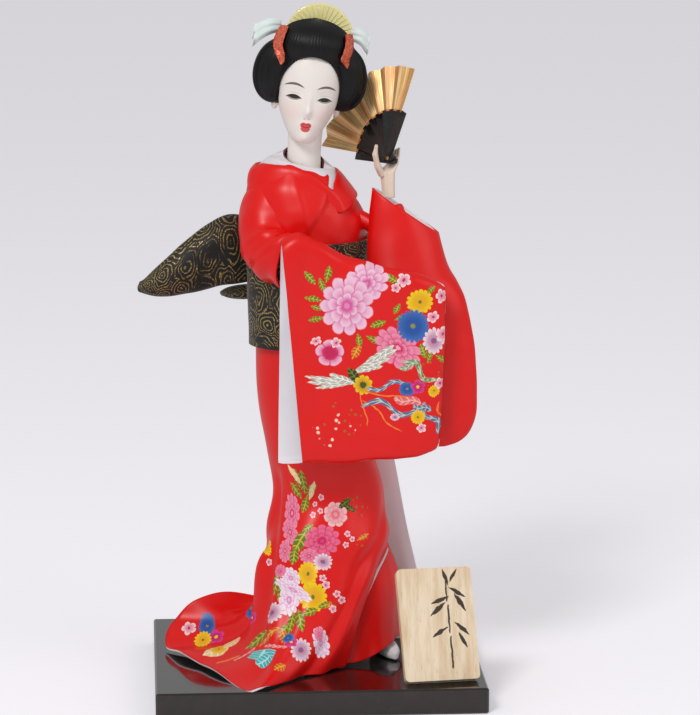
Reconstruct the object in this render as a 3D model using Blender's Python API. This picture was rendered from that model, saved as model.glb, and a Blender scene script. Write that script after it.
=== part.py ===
"""A standing doll in a kimono, raising a folding fan, on a lacquered base with a small plaque.

Sizes are in millimetres and become metres as each mesh is made. The origin is the centre of the
base's underside, +X is the viewer's right, +Y the back and +Z up. Heights are above the base's top.
"""

import bpy
import bmesh
from math import cos, exp, pi, radians, sin, sqrt, tau
from mathutils import Matrix, Vector

MM = 0.001

# Clearances and cloth
GAP = 0.3
CLOTH = 0.9
STEP = GAP + CLOTH

# Base and plaque
BASE_LENGTH = 150.0
BASE_WIDTH = 125.0
BASE_HEIGHT = 12.0
BASE_EDGE = 0.8
PLAQUE_WIDTH = 34.5
PLAQUE_HEIGHT = 52.0
PLAQUE_THICKNESS = 4.0
PLAQUE_CORNER = 2.0
PLAQUE_LEAN = 27.0
PLAQUE_TURN = 7.0
PLAQUE_FROM_FRONT = 4.5
PLAQUE_FROM_RIGHT = 20.0

# Wires and feet
WIRE = 2.0
WIRE_DEPTH = 9.0
WIRE_IN_BODY = 16.0
FOOT_LENGTH = 27.0
FOOT_WIDTH = 10.0
FOOT_HEIGHT = 13.0
TOE_HEIGHT = 5.6
FEET = {"right_foot": (-4.0, 4.0, -12.0), "left_foot": (27.0, 3.0, 20.0)}

# Body form under the clothes: height, centre x, centre y, half width, half depth, slope to +X
BODY = (
    (15.0, 8.0, 6.0, 17.0, 9.0, 0.0),
    (50.0, 6.0, 5.0, 16.0, 10.0, 0.0),
    (90.0, 4.0, 5.0, 17.0, 12.0, 0.0),
    (140.0, -1.5, 4.0, 19.0, 12.8, 0.0),
    (185.0, -3.0, 4.5, 19.0, 14.0, 0.0),
    (208.0, -4.0, 5.0, 14.5, 12.0, 0.1),
    (218.0, -4.5, 6.0, 12.0, 10.0, 0.1),
)

BODY_COLUMNS = 16
BODY_ROWS = 8

# Bodice, in the same terms
BODICE = (
    (164.0, -2.0, 5.0, 24.4, 19.2, 0.0),
    (182.0, -2.5, 5.0, 24.6, 19.4, 0.0),
    (198.0, -3.5, 4.0, 26.6, 20.4, 0.05),
    (209.0, -4.0, 4.0, 27.2, 20.0, 0.16),
    (218.0, -4.8, 4.6, 23.8, 17.6, 0.22),
    (225.0, -5.2, 5.4, 17.6, 14.6, 0.22),
    (228.0, -5.4, 5.8, 13.6, 12.2, 0.2),
)
BODICE_COLUMNS = 22
BODICE_ROWS = 6

# Collars: how far down the bodice they reach, and how far they dip in front
FRONT_TURN = radians(-62.0)
WHITE_REACH = 0.9
WHITE_DIP = 0.06
WHITE_LIFT = 7.0
RED_REACH = 0.87
RED_TOP = 0.93
RED_DIP = 0.3
RED_TOP_DIP = 0.13
COLLAR_SPREAD = 0.55
COLLAR_COLUMNS = 28

# Sash with its bow
SASH = (
    (146.5, -1.6, 5.0, 27.9, 22.4, 0.0),
    (160.0, -2.2, 5.0, 27.6, 22.2, 0.0),
    (182.0, -2.6, 4.8, 27.8, 22.6, 0.0),
    (195.5, -3.0, 4.6, 28.8, 23.2, 0.0),
)
SASH_CLOTH = 1.2
SASH_COLUMNS = 26
SASH_ROWS = 2
BOW_TURN = radians(19.0)
BOW_KNOT = (11.0, 7.5, 14.0)
BOW_KNOT_HEIGHT = 184.5
# Loop: distance out from the knot's middle, rise of its centre over the knot's, half height, half depth
BOW_LOOP = (
    (24.0, 1.0, 13.5, 8.0),
    (34.0, 2.0, 16.0, 8.6),
    (43.0, 0.0, 14.6, 7.6),
    (53.0, -4.5, 11.2, 6.4),
    (62.0, -9.1, 7.6, 5.0),
    (68.5, -11.9, 4.4, 3.4),
    (71.0, -12.3, 1.7, 1.5),
)
BOW_MOUTH_LEAN = 0.45
BOW_LOOP_SIDES = 12
BOW_LOOP_ROUNDS = 6
BOW_ROLL = (31.0, 8.5, 3.4)
BOW_ROLL_DROP = 18.1

# Outer skirt, ring by ring: the first rings are ovals, and the others are hung point by point from
# the free edge in front, past the left side, to the back
SKIRT_OVALS = (
    (161.0, -2.0, 5.0, 24.4, 19.2),
    (146.0, -1.2, 5.0, 25.4, 19.8),
    (120.0, -0.3, 5.0, 25.4, 20.0),
    (96.0, 2.5, 5.0, 24.0, 20.6),
    (77.0, 6.5, 5.0, 25.0, 21.2),
)
SKIRT_FROM = radians(35.0)
SKIRT_SWEEP = radians(-335.0)
SKIRT_FALLS = (
    (
        (34, -1, 60), (31.5, -8, 60), (26, -15, 60), (17, -20, 60), (7, -22.5, 60), (-4, -22, 60),
        (-13, -18, 60), (-20, -10, 60), (-21.8, 0, 60), (-20.5, 11, 60), (-13, 21, 60), (0, 26.5, 60),
        (12, 27.5, 60), (23, 25.5, 60),
    ),
    (
        (29, -12, 47), (25, -17, 47), (17, -21.5, 47), (8, -24.5, 47), (-2, -25, 47), (-11, -23, 47),
        (-19, -18, 47), (-28, -8, 46), (-21.5, 1, 46), (-22.5, 11, 46), (-16, 21, 46), (-3, 27.5, 46),
        (11, 29.5, 46), (24, 27.5, 46),
    ),
    (
        (21.5, -22, 30), (17, -25.5, 30), (10, -29, 29), (1, -31, 29), (-8, -31, 29), (-16, -28.5, 28),
        (-22.5, -21, 27), (-30, -8, 26), (-25, 2.5, 27), (-24.5, 12, 28), (-20, 20, 29), (-8, 28, 30),
        (11, 31, 30), (27, 28.5, 30),
    ),
    (
        (15.5, -26, 13), (9, -32, 11.5), (0, -37, 10), (-9, -42, 9.5), (-18, -44, 9), (-25, -41.5, 9),
        (-31, -27, 8), (-36, -11, 8), (-38, 2, 9), (-39, 11, 11), (-36, 18, 15), (-20, 25, 17),
        (8, 32.5, 14), (29, 30.5, 14),
    ),
    (
        (12, -27, 0.8), (4, -32.5, 0.8), (-6, -40, 0.8), (-16, -49, 0.8), (-25, -57.5, 0.8),
        (-34, -60.5, 0.8), (-49, -31, 1.4), (-62, -9, 2.6), (-70, 8, 3.6), (-66, 18.5, 10),
        (-55, 21.5, 20.5), (-33, 25, 22.5), (4, 34, 3.6), (29, 32.5, 1.4),
    ),
)
SKIRT_COLUMNS = 34
SKIRT_ROWS = 14

# Under skirt, seen to the right of the free edge, and the white robe that shows behind it
UNDER_SKIRT = (
    ((-2, -11, 80), (9, -12, 80), (18, -9, 80), (23.5, -2, 80), (25, 7, 80), (21.5, 14.5, 80)),
    ((-2, -12.5, 60), (10, -13.5, 60), (20, -10.5, 60), (27, -3, 59), (31, 6, 58), (28, 15, 58)),
    ((-3, -18, 36), (10, -19.5, 36), (24, -16, 36), (34, -7, 36), (39.3, 4, 35), (37, 15, 35)),
    ((-3, -21, 14), (9, -22.5, 14), (23, -19, 15), (34.5, -11, 16), (39.2, 3, 15), (38, 15.5, 14)),
    (
        (-3, -23, 1.0), (9, -24.2, 1.0), (22, -21.5, 2.5), (33.5, -15, 7.8), (40, 2, 8.6),
        (39.5, 15.5, 8.0),
    ),
)
WHITE_ROBE = (
    ((-6, 18.6, 128), (7, 19.2, 128), (17, 18.8, 128), (29, 19.5, 128)),
    ((-6, 18.8, 88), (8, 20, 88), (22, 20.5, 88), (38, 19.5, 88)),
    ((-6, 19.5, 56), (9, 21.5, 56), (25, 22, 56), (44, 20, 56)),
    ((-6, 21, 24), (10, 24, 24), (28, 24.5, 24), (51, 20.5, 24)),
    ((-6, 22, 0.9), (10, 25.5, 0.9), (29, 26, 0.9), (54, 21, 0.9)),
)
PANEL_COLUMNS = 7
PANEL_ROWS = 6

# Right upper sleeve: centre x, y, height, half height, half depth of each round
UPPER_SLEEVE = (
    (-13.0, 3.0, 214.0, 12.5, 13.5),
    (-19.5, 0.0, 208.0, 14.0, 14.0),
    (-21.5, -6.0, 199.5, 13.5, 13.0),
    (-21.0, -13.0, 191.5, 12.5, 11.0),
    (-17.5, -19.5, 190.0, 11.5, 8.5),
    (-13.0, -25.0, 189.0, 12.0, 6.4),
)
# The way the sleeve runs at its two ends
UPPER_SLEEVE_WAYS = ((-6.5, -3.0, -6.0), (4.5, -5.5, -1.0))
UPPER_SLEEVE_SIDES = 16
UPPER_SLEEVE_ROUNDS = 7

# Hanging right sleeve
SLEEVE_TOP = (
    (-16.8, 201.0), (-8.5, 204.4), (0.5, 200.0), (11.5, 194.0), (22.6, 190.6), (36.0, 187.2), (57.0, 182.0),
)
SLEEVE_DROP_LEFT = 102.4
SLEEVE_BOTTOM_RISE = 4.0
SLEEVE_FRONT_EDGE_SHIFT = 9.2
SLEEVE_BACK_EDGE_SHIFT = -1.6
SLEEVE_OUTER_EDGE_SHIFT = 2.6
SLEEVE_MIDDLE_Y = -35.6
SLEEVE_HALF_DEPTH = 5.6
SLEEVE_STATIONS = 8
# Share of the way down, and share of the half depth there
SLEEVE_SECTION = (
    (0.0, 0.0), (0.012, 0.55), (0.045, 0.93), (0.12, 1.0), (0.3, 0.86), (0.55, 0.72), (0.8, 0.7),
    (0.95, 0.66), (0.99, 0.42), (1.0, 0.0),
)

# Left sleeve: height, centre x, centre y, half width, half depth, slope to +X
LEFT_SLEEVE = (
    (209.0, 41.0, -4.4, 15.2, 8.8, 0.68),
    (191.0, 41.8, -9.0, 18.4, 9.0, 0.35),
    (179.0, 43.8, -14.0, 20.8, 8.2, 0.1),
    (168.0, 45.2, -16.5, 23.0, 7.2, 0.0),
    (151.5, 47.2, -18.5, 24.5, 6.0, 0.0),
    (133.0, 48.2, -19.5, 25.0, 5.4, 0.0),
    (119.0, 48.4, -20.0, 24.4, 5.0, 0.0),
    (109.7, 48.0, -20.5, 21.6, 4.2, 0.0),
    (105.0, 47.5, -20.8, 17.4, 3.0, 0.0),
    (102.9, 47.0, -21.0, 10.8, 1.6, 0.0),
)
LEFT_SLEEVE_SIDES = 16
LEFT_SLEEVE_ROWS = 9

# Arms and hands
ARM = 4.0
RIGHT_ARM = (
    (-14.0, 3.5, 213.0), (-21.5, -2.0, 206.5), (-22.5, -10.0, 201.5), (-19.0, -18.5, 198.5),
    (-12.0, -26.0, 195.5), (-4.0, -32.5, 192.5), (12.0, -35.6, 187.6),
)
RIGHT_HAND = (24.0, -35.6, 183.0)
RIGHT_HAND_SIZE = (10.5, 3.6, 5.4)
LEFT_ARM = (
    (5.0, 4.0, 210.5), (25.0, -3.0, 203.5), (37.0, -9.5, 193.0), (43.0, -12.0, 188.0),
    (41.0, -9.5, 196.0), (36.0, -4.6, 211.0),
)
ARM_STEPS = 8
ARM_SIDES = 8
WRIST = (34.0, -2.6, 214.6)
FOREARM_TOP = (33.6, -0.6, 226.4)
WRIST_HALF = 3.7
PALM_HALF = 4.7
PALM_TURN = radians(-42.0)
PALM_BEHIND_FAN = 6.4
PALM_RISE = 3.0
# How flat the forearm and the palm are, as a share of their width
HAND_FLATS = (0.95, 0.9, 0.66, 0.52, 0.42)
# Thumb, from the top of the forearm, and each finger, from the palm
THUMB = ((-3.0, -1.4, -1.5), (-5.4, -4.4, 3.0), (-6.6, -6.4, 8.5), (-6.0, -7.2, 13.0))
THUMB_HALVES = (1.9, 1.7, 1.5, 1.0)
FINGER_ROOT = (1.8, 0.0, 0.5)
FINGER_STEP = (-2.2, 0.8, 0.0)
FINGER_MIDDLE = (0.8, 1.0, 5.0)
FINGER_TIP = (1.4, 0.4, 9.5)
FINGER_HALVES = (1.5, 1.4, 1.0)

# Folding fan
PIVOT = (34.4, -3.4, 232.4)
FAN_UP = (0.287, 0.0, 0.958)
FAN_SIDE = (-0.665, 0.72, 0.2)
FAN_SPREAD = 99.0
FAN_RADIUS = 42.0
STICK_COUNT = 9
STICK_LENGTH = 22.0
STICK_THICKNESS = 0.4
STICK_GAP = 0.15
STICK_NARROW = 3.6
STICK_WIDE = 5.6
STICK_TAIL = 2.6
LEAF_THICKNESS = 0.5
PLEAT_INNER = 1.1
PLEAT_OUTER = 2.4
RIVET = 1.2
RIVET_HEAD = 2.0
RIVET_HEAD_HEIGHT = 0.5

# Head, in its own frame: x to the viewer's right, z up, the face towards -y
HEAD_CENTRE = (-2.5, 3.0, 263.0)
HEAD_ROLL = 8.0
# Height from the centre, half width, front, back
HEAD_LEVELS = (
    (-23.2, 3.2, -9.8, -2.0),
    (-21.6, 5.6, -12.4, 2.0),
    (-17.0, 8.6, -13.9, 7.0),
    (-10.0, 11.9, -14.5, 12.0),
    (-2.0, 14.0, -14.9, 15.5),
    (7.0, 14.5, -15.2, 16.6),
    (15.0, 13.2, -13.8, 15.6),
    (21.0, 9.6, -10.0, 11.6),
    (24.6, 3.4, -3.8, 5.0),
)
# Nose, lips, chin and eye sockets: x, height, spread in x, spread in height, how far forward
FACE_BUMPS = (
    (0.0, -8.4, 1.9, 2.4, 2.3),
    (0.0, -3.6, 1.5, 3.6, 1.1),
    (0.0, -14.2, 3.0, 1.5, 0.7),
    (0.0, -20.4, 3.4, 2.2, 0.9),
    (6.4, -0.6, 3.0, 2.2, -0.8),
    (-6.4, -0.6, 3.0, 2.2, -0.8),
    (7.8, -7.6, 3.6, 3.6, 0.5),
    (-7.8, -7.6, 3.6, 3.6, 0.5),
)
HEAD_SIDES = 22
HEAD_ROUNDS = 14
NECK_FOOT = (-5.2, 5.6, 221.5)
NECK_TOP = (-3.4, 5.8, 251.5)
NECK_HALF = 8.4
EAR = (1.9, 3.4, 5.0)
EAR_PLACE = (14.2, 4.0, -6.0)

# Wig, in the head's frame: the middle and the half sizes of each roll
WIG_MIDDLE = (0.0, 2.0, 8.0)
WIG_ROLLS = {
    "front": ((0.0, -1.4, 20.8), (17.6, 15.4, 12.2)),
    "cap": ((0.0, 4.4, 8.0), (17.4, 17.6, 21.0)),
    "left": ((-16.3, 3.4, 5.2), (10.2, 10.4, 13.6)),
    "right": ((16.3, 3.4, 5.2), (10.2, 10.4, 13.6)),
    "knot": ((0.0, 13.5, 24.0), (9.5, 8.5, 9.0)),
    "nape": ((0.0, 16.5, -1.5), (12.0, 7.5, 8.5)),
}
WIG_COLUMNS = 26
WIG_ROWS = 13
COMB_RADIUS = 15.6
COMB_THICKNESS = 1.2
COMB_PLACE = (0.5, 10.5, 23.5)
COMB_RIBS = 9
# Room left round the wig by the pieces laid on it
WIG_ROOM = 0.5
RIBBON_LOOP_SIZE = (9.0, 1.6, 4.2)
RIBBON_LOOP_PLACE = (21.0, 21.6)
# Glitter ribbons: azimuth from the front, start and end elevation seen from the wig's middle
RIBBON_AZIMUTH = 49.0
RIBBON_LOW = 26.0
RIBBON_HIGH = 62.0
RIBBON_WIDTH = 6.0
RIBBON_THICKNESS = 0.6

# Facets round small things
ROUND = 8


def clear_scene():
    for item in list(bpy.data.objects):
        bpy.data.objects.remove(item, do_unlink=True)


def material(name, colour, roughness, metallic=0.0):
    made = bpy.data.materials.new(name)
    made.use_nodes = True
    shader = made.node_tree.nodes["Principled BSDF"]
    shader.inputs["Base Color"].default_value = (*colour, 1.0)
    shader.inputs["Roughness"].default_value = roughness
    shader.inputs["Metallic"].default_value = metallic
    return made


def make(name, points, faces, finish=None, sharp=40.0):
    """A closed mesh object from points in millimetres, its faces turned outwards."""
    mesh = bpy.data.meshes.new(name)
    mesh.from_pydata([Vector(p) * MM for p in points], [], faces)
    work = bmesh.new()
    work.from_mesh(mesh)
    bmesh.ops.recalc_face_normals(work, faces=work.faces)
    work.to_mesh(mesh)
    work.free()
    mesh.shade_smooth()
    mesh.set_sharp_from_angle(angle=radians(sharp))
    item = bpy.data.objects.new(name, mesh)
    bpy.context.collection.objects.link(item)
    if finish:
        mesh.materials.append(finish)
    return item


def cut(item, cutter):
    """Takes the cutter's room out of the item, and leaves the cutter as a hidden guide."""
    cutter.hide_render = True
    cutter.display_type = "WIRE"
    step = item.modifiers.new("room for " + cutter.name, "BOOLEAN")
    step.operation = "DIFFERENCE"
    step.object = cutter


def join(item, other):
    """Grows the other shape onto the item as one body."""
    other.hide_render = True
    other.display_type = "WIRE"
    step = item.modifiers.new("with " + other.name, "BOOLEAN")
    step.operation = "UNION"
    step.object = other


def through(rows, t):
    """A smooth curve through rows of numbers, at t from 0 to 1."""
    last = len(rows) - 1
    place = min(max(t, 0.0), 1.0) * last
    k = min(int(place), last - 1)
    f = place - k
    before = rows[max(k - 1, 0)]
    start = rows[k]
    end = rows[k + 1]
    after = rows[min(k + 2, last)]
    result = []
    for a, b, c, d in zip(before, start, end, after):
        into = (c - a) / 2
        out = (d - b) / 2
        result.append(
            b * (2 * f**3 - 3 * f**2 + 1) + into * (f**3 - 2 * f**2 + f)
            + c * (3 * f**2 - 2 * f**3) + out * (f**3 - f**2)
        )
    return result


def above(x, y, height):
    return Vector((x, y, BASE_HEIGHT + height))


def side_cells(across, down, first, ring, flip=False):
    """Quads between rings of points; a closed ring joins its last point to its first."""
    cells = []
    for j in range(down - 1):
        for i in range(across if ring else across - 1):
            a = first + j * across + i
            b = first + j * across + (i + 1) % across
            cell = (a, b, b + across, a + across)
            cells.append(cell[::-1] if flip else cell)
    return cells


def grid_normals(grid, ring):
    """The direction out of each point of a grid of points, from its neighbours."""
    rows = len(grid)
    columns = len(grid[0])
    normals = []
    for j in range(rows):
        line = []
        for i in range(columns):
            if ring:
                across = grid[j][(i + 1) % columns] - grid[j][i - 1]
            else:
                across = grid[j][min(i + 1, columns - 1)] - grid[j][max(i - 1, 0)]
            down = grid[min(j + 1, rows - 1)][i] - grid[max(j - 1, 0)][i]
            line.append(across.cross(down).normalized())
        normals.append(line)
    return normals


def wall(name, grid, thickness, finish, ring=False, cap=False, middle=True):
    """Cloth: a grid of points given a thickness, as an open sheet or as a tube. The points are its
    middle, or its outer skin if the grid turns that way. A cap closes the last ring."""
    rows = len(grid)
    columns = len(grid[0])
    normals = grid_normals(grid, ring)
    outer = []
    inner = []
    half = thickness / 2
    for line, ways in zip(grid, normals):
        for point, way in zip(line, ways):
            outer.append(point + way * half if middle else point)
            inner.append(point - way * half if middle else point - way * thickness)
    points = outer + inner
    shift = len(outer)
    faces = side_cells(columns, rows, 0, ring)
    faces += side_cells(columns, rows, shift, ring, flip=True)
    spans = range(columns if ring else columns - 1)
    for i in spans:
        k = (i + 1) % columns
        faces.append((i, i + shift, k + shift, k))
        if not cap:
            a = (rows - 1) * columns + i
            b = (rows - 1) * columns + k
            faces.append((a, b, b + shift, a + shift))
    if not ring:
        for j in range(rows - 1):
            for i in (0, columns - 1):
                a = j * columns + i
                faces.append((a, a + columns, a + columns + shift, a + shift))
    if cap:
        for start in (0, shift):
            first = start + (rows - 1) * columns
            edge = list(range(first, first + columns))
            points.append(sum((points[k] for k in edge), Vector()) / columns)
            for i in range(columns):
                faces.append((edge[i], edge[(i + 1) % columns], len(points) - 1))
    return make(name, points, faces, finish, sharp=60.0)


def loft(name, rings, finish=None, sharp=40.0):
    """A solid through rings of points, closed at both ends."""
    count = len(rings[0])
    points = [p for ring in rings for p in ring]
    faces = side_cells(count, len(rings), 0, True)
    for first in (0, (len(rings) - 1) * count):
        points.append(sum(points[first:first + count], Vector()) / count)
        for i in range(count):
            faces.append((first + i, first + (i + 1) % count, len(points) - 1))
    return make(name, points, faces, finish, sharp)


def pipe(name, route, half_sizes, sides, finish=None):
    """A round bar along a route, with its own radius at each point."""
    rings = []
    for k, point in enumerate(route):
        ahead = route[min(k + 1, len(route) - 1)] - route[max(k - 1, 0)]
        turn = ahead.to_track_quat("Z", "Y")
        ring = []
        for i in range(sides):
            a = tau * i / sides
            ring.append(point + turn @ Vector((cos(a), sin(a), 0)) * half_sizes[k])
        rings.append(ring)
    return loft(name, rings, finish)


def blob(name, centre, half_sizes, frame=None, across=12, down=8, finish=None):
    """A closed egg shape."""
    rings = []
    for j in range(1, down):
        tall = pi * j / down
        ring = []
        for i in range(across):
            a = tau * i / across
            spot = Vector((
                half_sizes[0] * sin(tall) * cos(a),
                half_sizes[1] * sin(tall) * sin(a),
                half_sizes[2] * cos(tall),
            ))
            spot = Vector(centre) + spot
            ring.append(frame @ spot if frame else spot)
        rings.append(ring)
    return loft(name, rings, finish)


def oval_point(levels, angle, t):
    height, x, y, half_width, half_depth, slope = through(levels, t)
    across = half_width * cos(angle)
    return above(x + across, y + half_depth * sin(angle), height - slope * across)


def oval_out(levels, angle, t, out):
    """A point at a distance out from a surface of stacked ovals."""
    small = 0.01
    across = oval_point(levels, angle + small, t) - oval_point(levels, angle - small, t)
    up = oval_point(levels, angle, min(t + small, 1)) - oval_point(levels, angle, max(t - small, 0))
    return oval_point(levels, angle, t) + across.cross(up).normalized() * out


def oval_grid(levels, columns, rows, out=0.0):
    grid = []
    for j in range(rows + 1):
        line = [oval_out(levels, tau * i / columns, j / rows, out) for i in range(columns)]
        grid.append(line)
    return grid


def oval_room(name, levels, columns, rows, out):
    """A solid that is larger all round than a form of stacked ovals, to make room for it."""
    grid = oval_grid(levels, columns, rows, out)
    low = [p - Vector((0, 0, out)) for p in grid[0]]
    high = [p + Vector((0, 0, out)) for p in grid[-1]]
    return loft(name, [low] + grid + [high])


def bodice_room(name):
    return oval_room(name, BODICE, BODICE_COLUMNS, BODICE_ROWS, CLOTH / 2 + GAP)


def sash_room(name):
    return oval_room(name, SASH, SASH_COLUMNS, SASH_ROWS, SASH_CLOTH / 2 + GAP)


def make_base(finish):
    base = make(
        "base_board",
        [
            (x * BASE_LENGTH / 2, y * BASE_WIDTH / 2, z * BASE_HEIGHT)
            for z in (0, 1) for y in (-1, 1) for x in (-1, 1)
        ],
        [(0, 2, 3, 1), (4, 5, 7, 6), (0, 1, 5, 4), (2, 6, 7, 3), (0, 4, 6, 2), (1, 3, 7, 5)],
        finish,
        sharp=30.0,
    )
    edge = base.modifiers.new("softened edges", "BEVEL")
    edge.width = BASE_EDGE * MM
    edge.segments = 1
    edge.limit_method = "ANGLE"
    for name, (x, y, turn) in FEET.items():
        hole = pipe(
            "hole for " + name,
            [above(x, y, -WIRE_DEPTH), above(x, y, GAP + 1)],
            [WIRE / 2 + GAP] * 2,
            ROUND,
        )
        cut(base, hole)
    return base


def make_plaque(finish):
    turn = Matrix.Rotation(radians(PLAQUE_TURN), 4, "Z")
    lean = Matrix.Rotation(radians(-PLAQUE_LEAN), 4, "X")
    x = BASE_LENGTH / 2 - PLAQUE_FROM_RIGHT
    foot = above(x, PLAQUE_FROM_FRONT + PLAQUE_WIDTH / 2 * sin(radians(PLAQUE_TURN)), GAP)
    foot.y -= BASE_WIDTH / 2
    place = Matrix.Translation(foot) @ turn @ lean
    outline = []
    half = PLAQUE_WIDTH / 2
    corners = (
        (half - PLAQUE_CORNER, PLAQUE_CORNER, -90),
        (half - PLAQUE_CORNER, PLAQUE_HEIGHT - PLAQUE_CORNER, 0),
        (PLAQUE_CORNER - half, PLAQUE_HEIGHT - PLAQUE_CORNER, 90),
        (PLAQUE_CORNER - half, PLAQUE_CORNER, 180),
    )
    for cx, cz, start in corners:
        for k in range(4):
            a = radians(start + 30 * k)
            outline.append((cx + PLAQUE_CORNER * cos(a), cz + PLAQUE_CORNER * sin(a)))
    foot_cut = PLAQUE_THICKNESS * sin(radians(PLAQUE_LEAN))
    rings = []
    for y in (0, PLAQUE_THICKNESS):
        rings.append([place @ Vector((px, y, pz + foot_cut)) for px, pz in outline])
    return loft("wooden_plaque", rings, finish, sharp=50.0)


def make_feet(white, steel):
    for name, (x, y, turn) in FEET.items():
        side = name.split("_")[0]
        place = Matrix.Translation(above(x, y, GAP)) @ Matrix.Rotation(radians(turn), 4, "Z")
        rings = []
        for k in range(7):
            along = k / 6
            ball = sqrt(max(0.08, 1 - (2 * along - 1) ** 4))
            half = FOOT_WIDTH / 2 * ball * (0.8 + 0.2 * sin(pi * along))
            tall = TOE_HEIGHT + (FOOT_HEIGHT - TOE_HEIGHT) * (1 - along) ** 1.6
            tall = tall * (0.55 + 0.45 * ball)
            ring = []
            for i in range(ROUND):
                a = tau * i / ROUND
                ring.append(place @ Vector((
                    half * cos(a),
                    FOOT_LENGTH * (0.4 - along),
                    tall / 2 + tall / 2 * max(-0.96, min(0.96, 1.25 * sin(a))) + 0.02 * tall,
                )))
            rings.append(ring)
        foot = loft(name, rings, white)
        top = BODY[0][0] + WIRE_IN_BODY
        room = [above(x, y, -WIRE_DEPTH), above(x, y, top + GAP)]
        cut(foot, pipe("wire room in " + name, room, [WIRE / 2 + GAP] * 2, ROUND))
        ends = [above(x, y, GAP - WIRE_DEPTH), above(x, y, top)]
        pipe(side + "_leg_wire", ends, [WIRE / 2] * 2, ROUND, steel)


def make_body(finish):
    body = loft("body_form", oval_grid(BODY, BODY_COLUMNS, BODY_ROWS), finish)
    for name, (x, y, turn) in FEET.items():
        top = BODY[0][0] + WIRE_IN_BODY
        room = [above(x, y, 0), above(x, y, top + GAP)]
        cut(body, pipe("wire room in body for " + name, room, [WIRE / 2 + GAP] * 2, ROUND))
    cut(body, make_neck("neck room", GAP))
    return body


def make_neck(name, out, finish=None):
    foot = above(*NECK_FOOT) - Vector((0, 0, out))
    top = above(*NECK_TOP)
    rings = []
    for k in range(4):
        middle = foot.lerp(top, k / 3)
        half = NECK_HALF + out - 0.8 * sin(pi * k / 3)
        ring = []
        for i in range(16):
            a = tau * i / 16
            ring.append(middle + Vector((half * cos(a), half * sin(a), 0)))
        rings.append(ring)
    return loft(name, rings, finish)


def head_frame():
    return Matrix.Translation(above(*HEAD_CENTRE)) @ Matrix.Rotation(radians(HEAD_ROLL), 4, "Y")


def head_rings(out):
    """The head's surface, with the rings closer together over the face."""
    frame = head_frame()
    rings = []
    for j in range(HEAD_ROUNDS):
        height, half, front, back = through(HEAD_LEVELS, j / (HEAD_ROUNDS - 1))
        ring = []
        for i in range(HEAD_SIDES):
            even = tau * i / HEAD_SIDES
            a = even - 0.35 * sin(2 * even) * (1 if cos(even) > 0 else 0.4)
            x = (half + out) * sin(a)
            if cos(a) > 0:
                y = (front - out) * abs(cos(a)) ** 0.9
                for bx, bz, sx, sz, forward in FACE_BUMPS:
                    y -= forward * exp(-((x - bx) / sx) ** 2 - ((height - bz) / sz) ** 2)
            else:
                y = (back + out) * abs(cos(a))
            rise = out * (1 if j == HEAD_ROUNDS - 1 else -1 if j == 0 else 0)
            ring.append(frame @ Vector((x, y, height + rise)))
        rings.append(ring)
    return rings


def make_head(finish):
    head = loft("head", head_rings(0.0), finish)
    frame = head_frame()
    for side in (-1, 1):
        x, y, z = EAR_PLACE
        join(head, blob(f"ear {side}", (side * x, y, z), EAR, frame, 8, 5))
    join(head, make_neck("neck", 0.0))
    return head


def wig_reach(way, out):
    """How far the wig reaches from its middle in one direction."""
    reach = 0.0
    for centre, half_sizes in WIG_ROLLS.values():
        start = Vector(WIG_MIDDLE) - Vector(centre)
        a = sum((way[k] / (half_sizes[k] + out)) ** 2 for k in range(3))
        b = sum(start[k] * way[k] / (half_sizes[k] + out) ** 2 for k in range(3))
        c = sum((start[k] / (half_sizes[k] + out)) ** 2 for k in range(3)) - 1
        inside = b * b - a * c
        if inside > 0:
            reach = max(reach, (-b + sqrt(inside)) / a)
    return reach


def wig_point(azimuth, elevation, out):
    way = Vector((
        sin(azimuth) * cos(elevation),
        -cos(azimuth) * cos(elevation),
        sin(elevation),
    ))
    return head_frame() @ (Vector(WIG_MIDDLE) + way * wig_reach(way, out))


def wig_shape(name, out, finish=None):
    rings = []
    for j in range(1, WIG_ROWS):
        elevation = pi * j / WIG_ROWS - pi / 2
        rings.append([
            wig_point(tau * i / WIG_COLUMNS, elevation, out) for i in range(WIG_COLUMNS)
        ])
    return loft(name, rings, finish)


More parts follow.
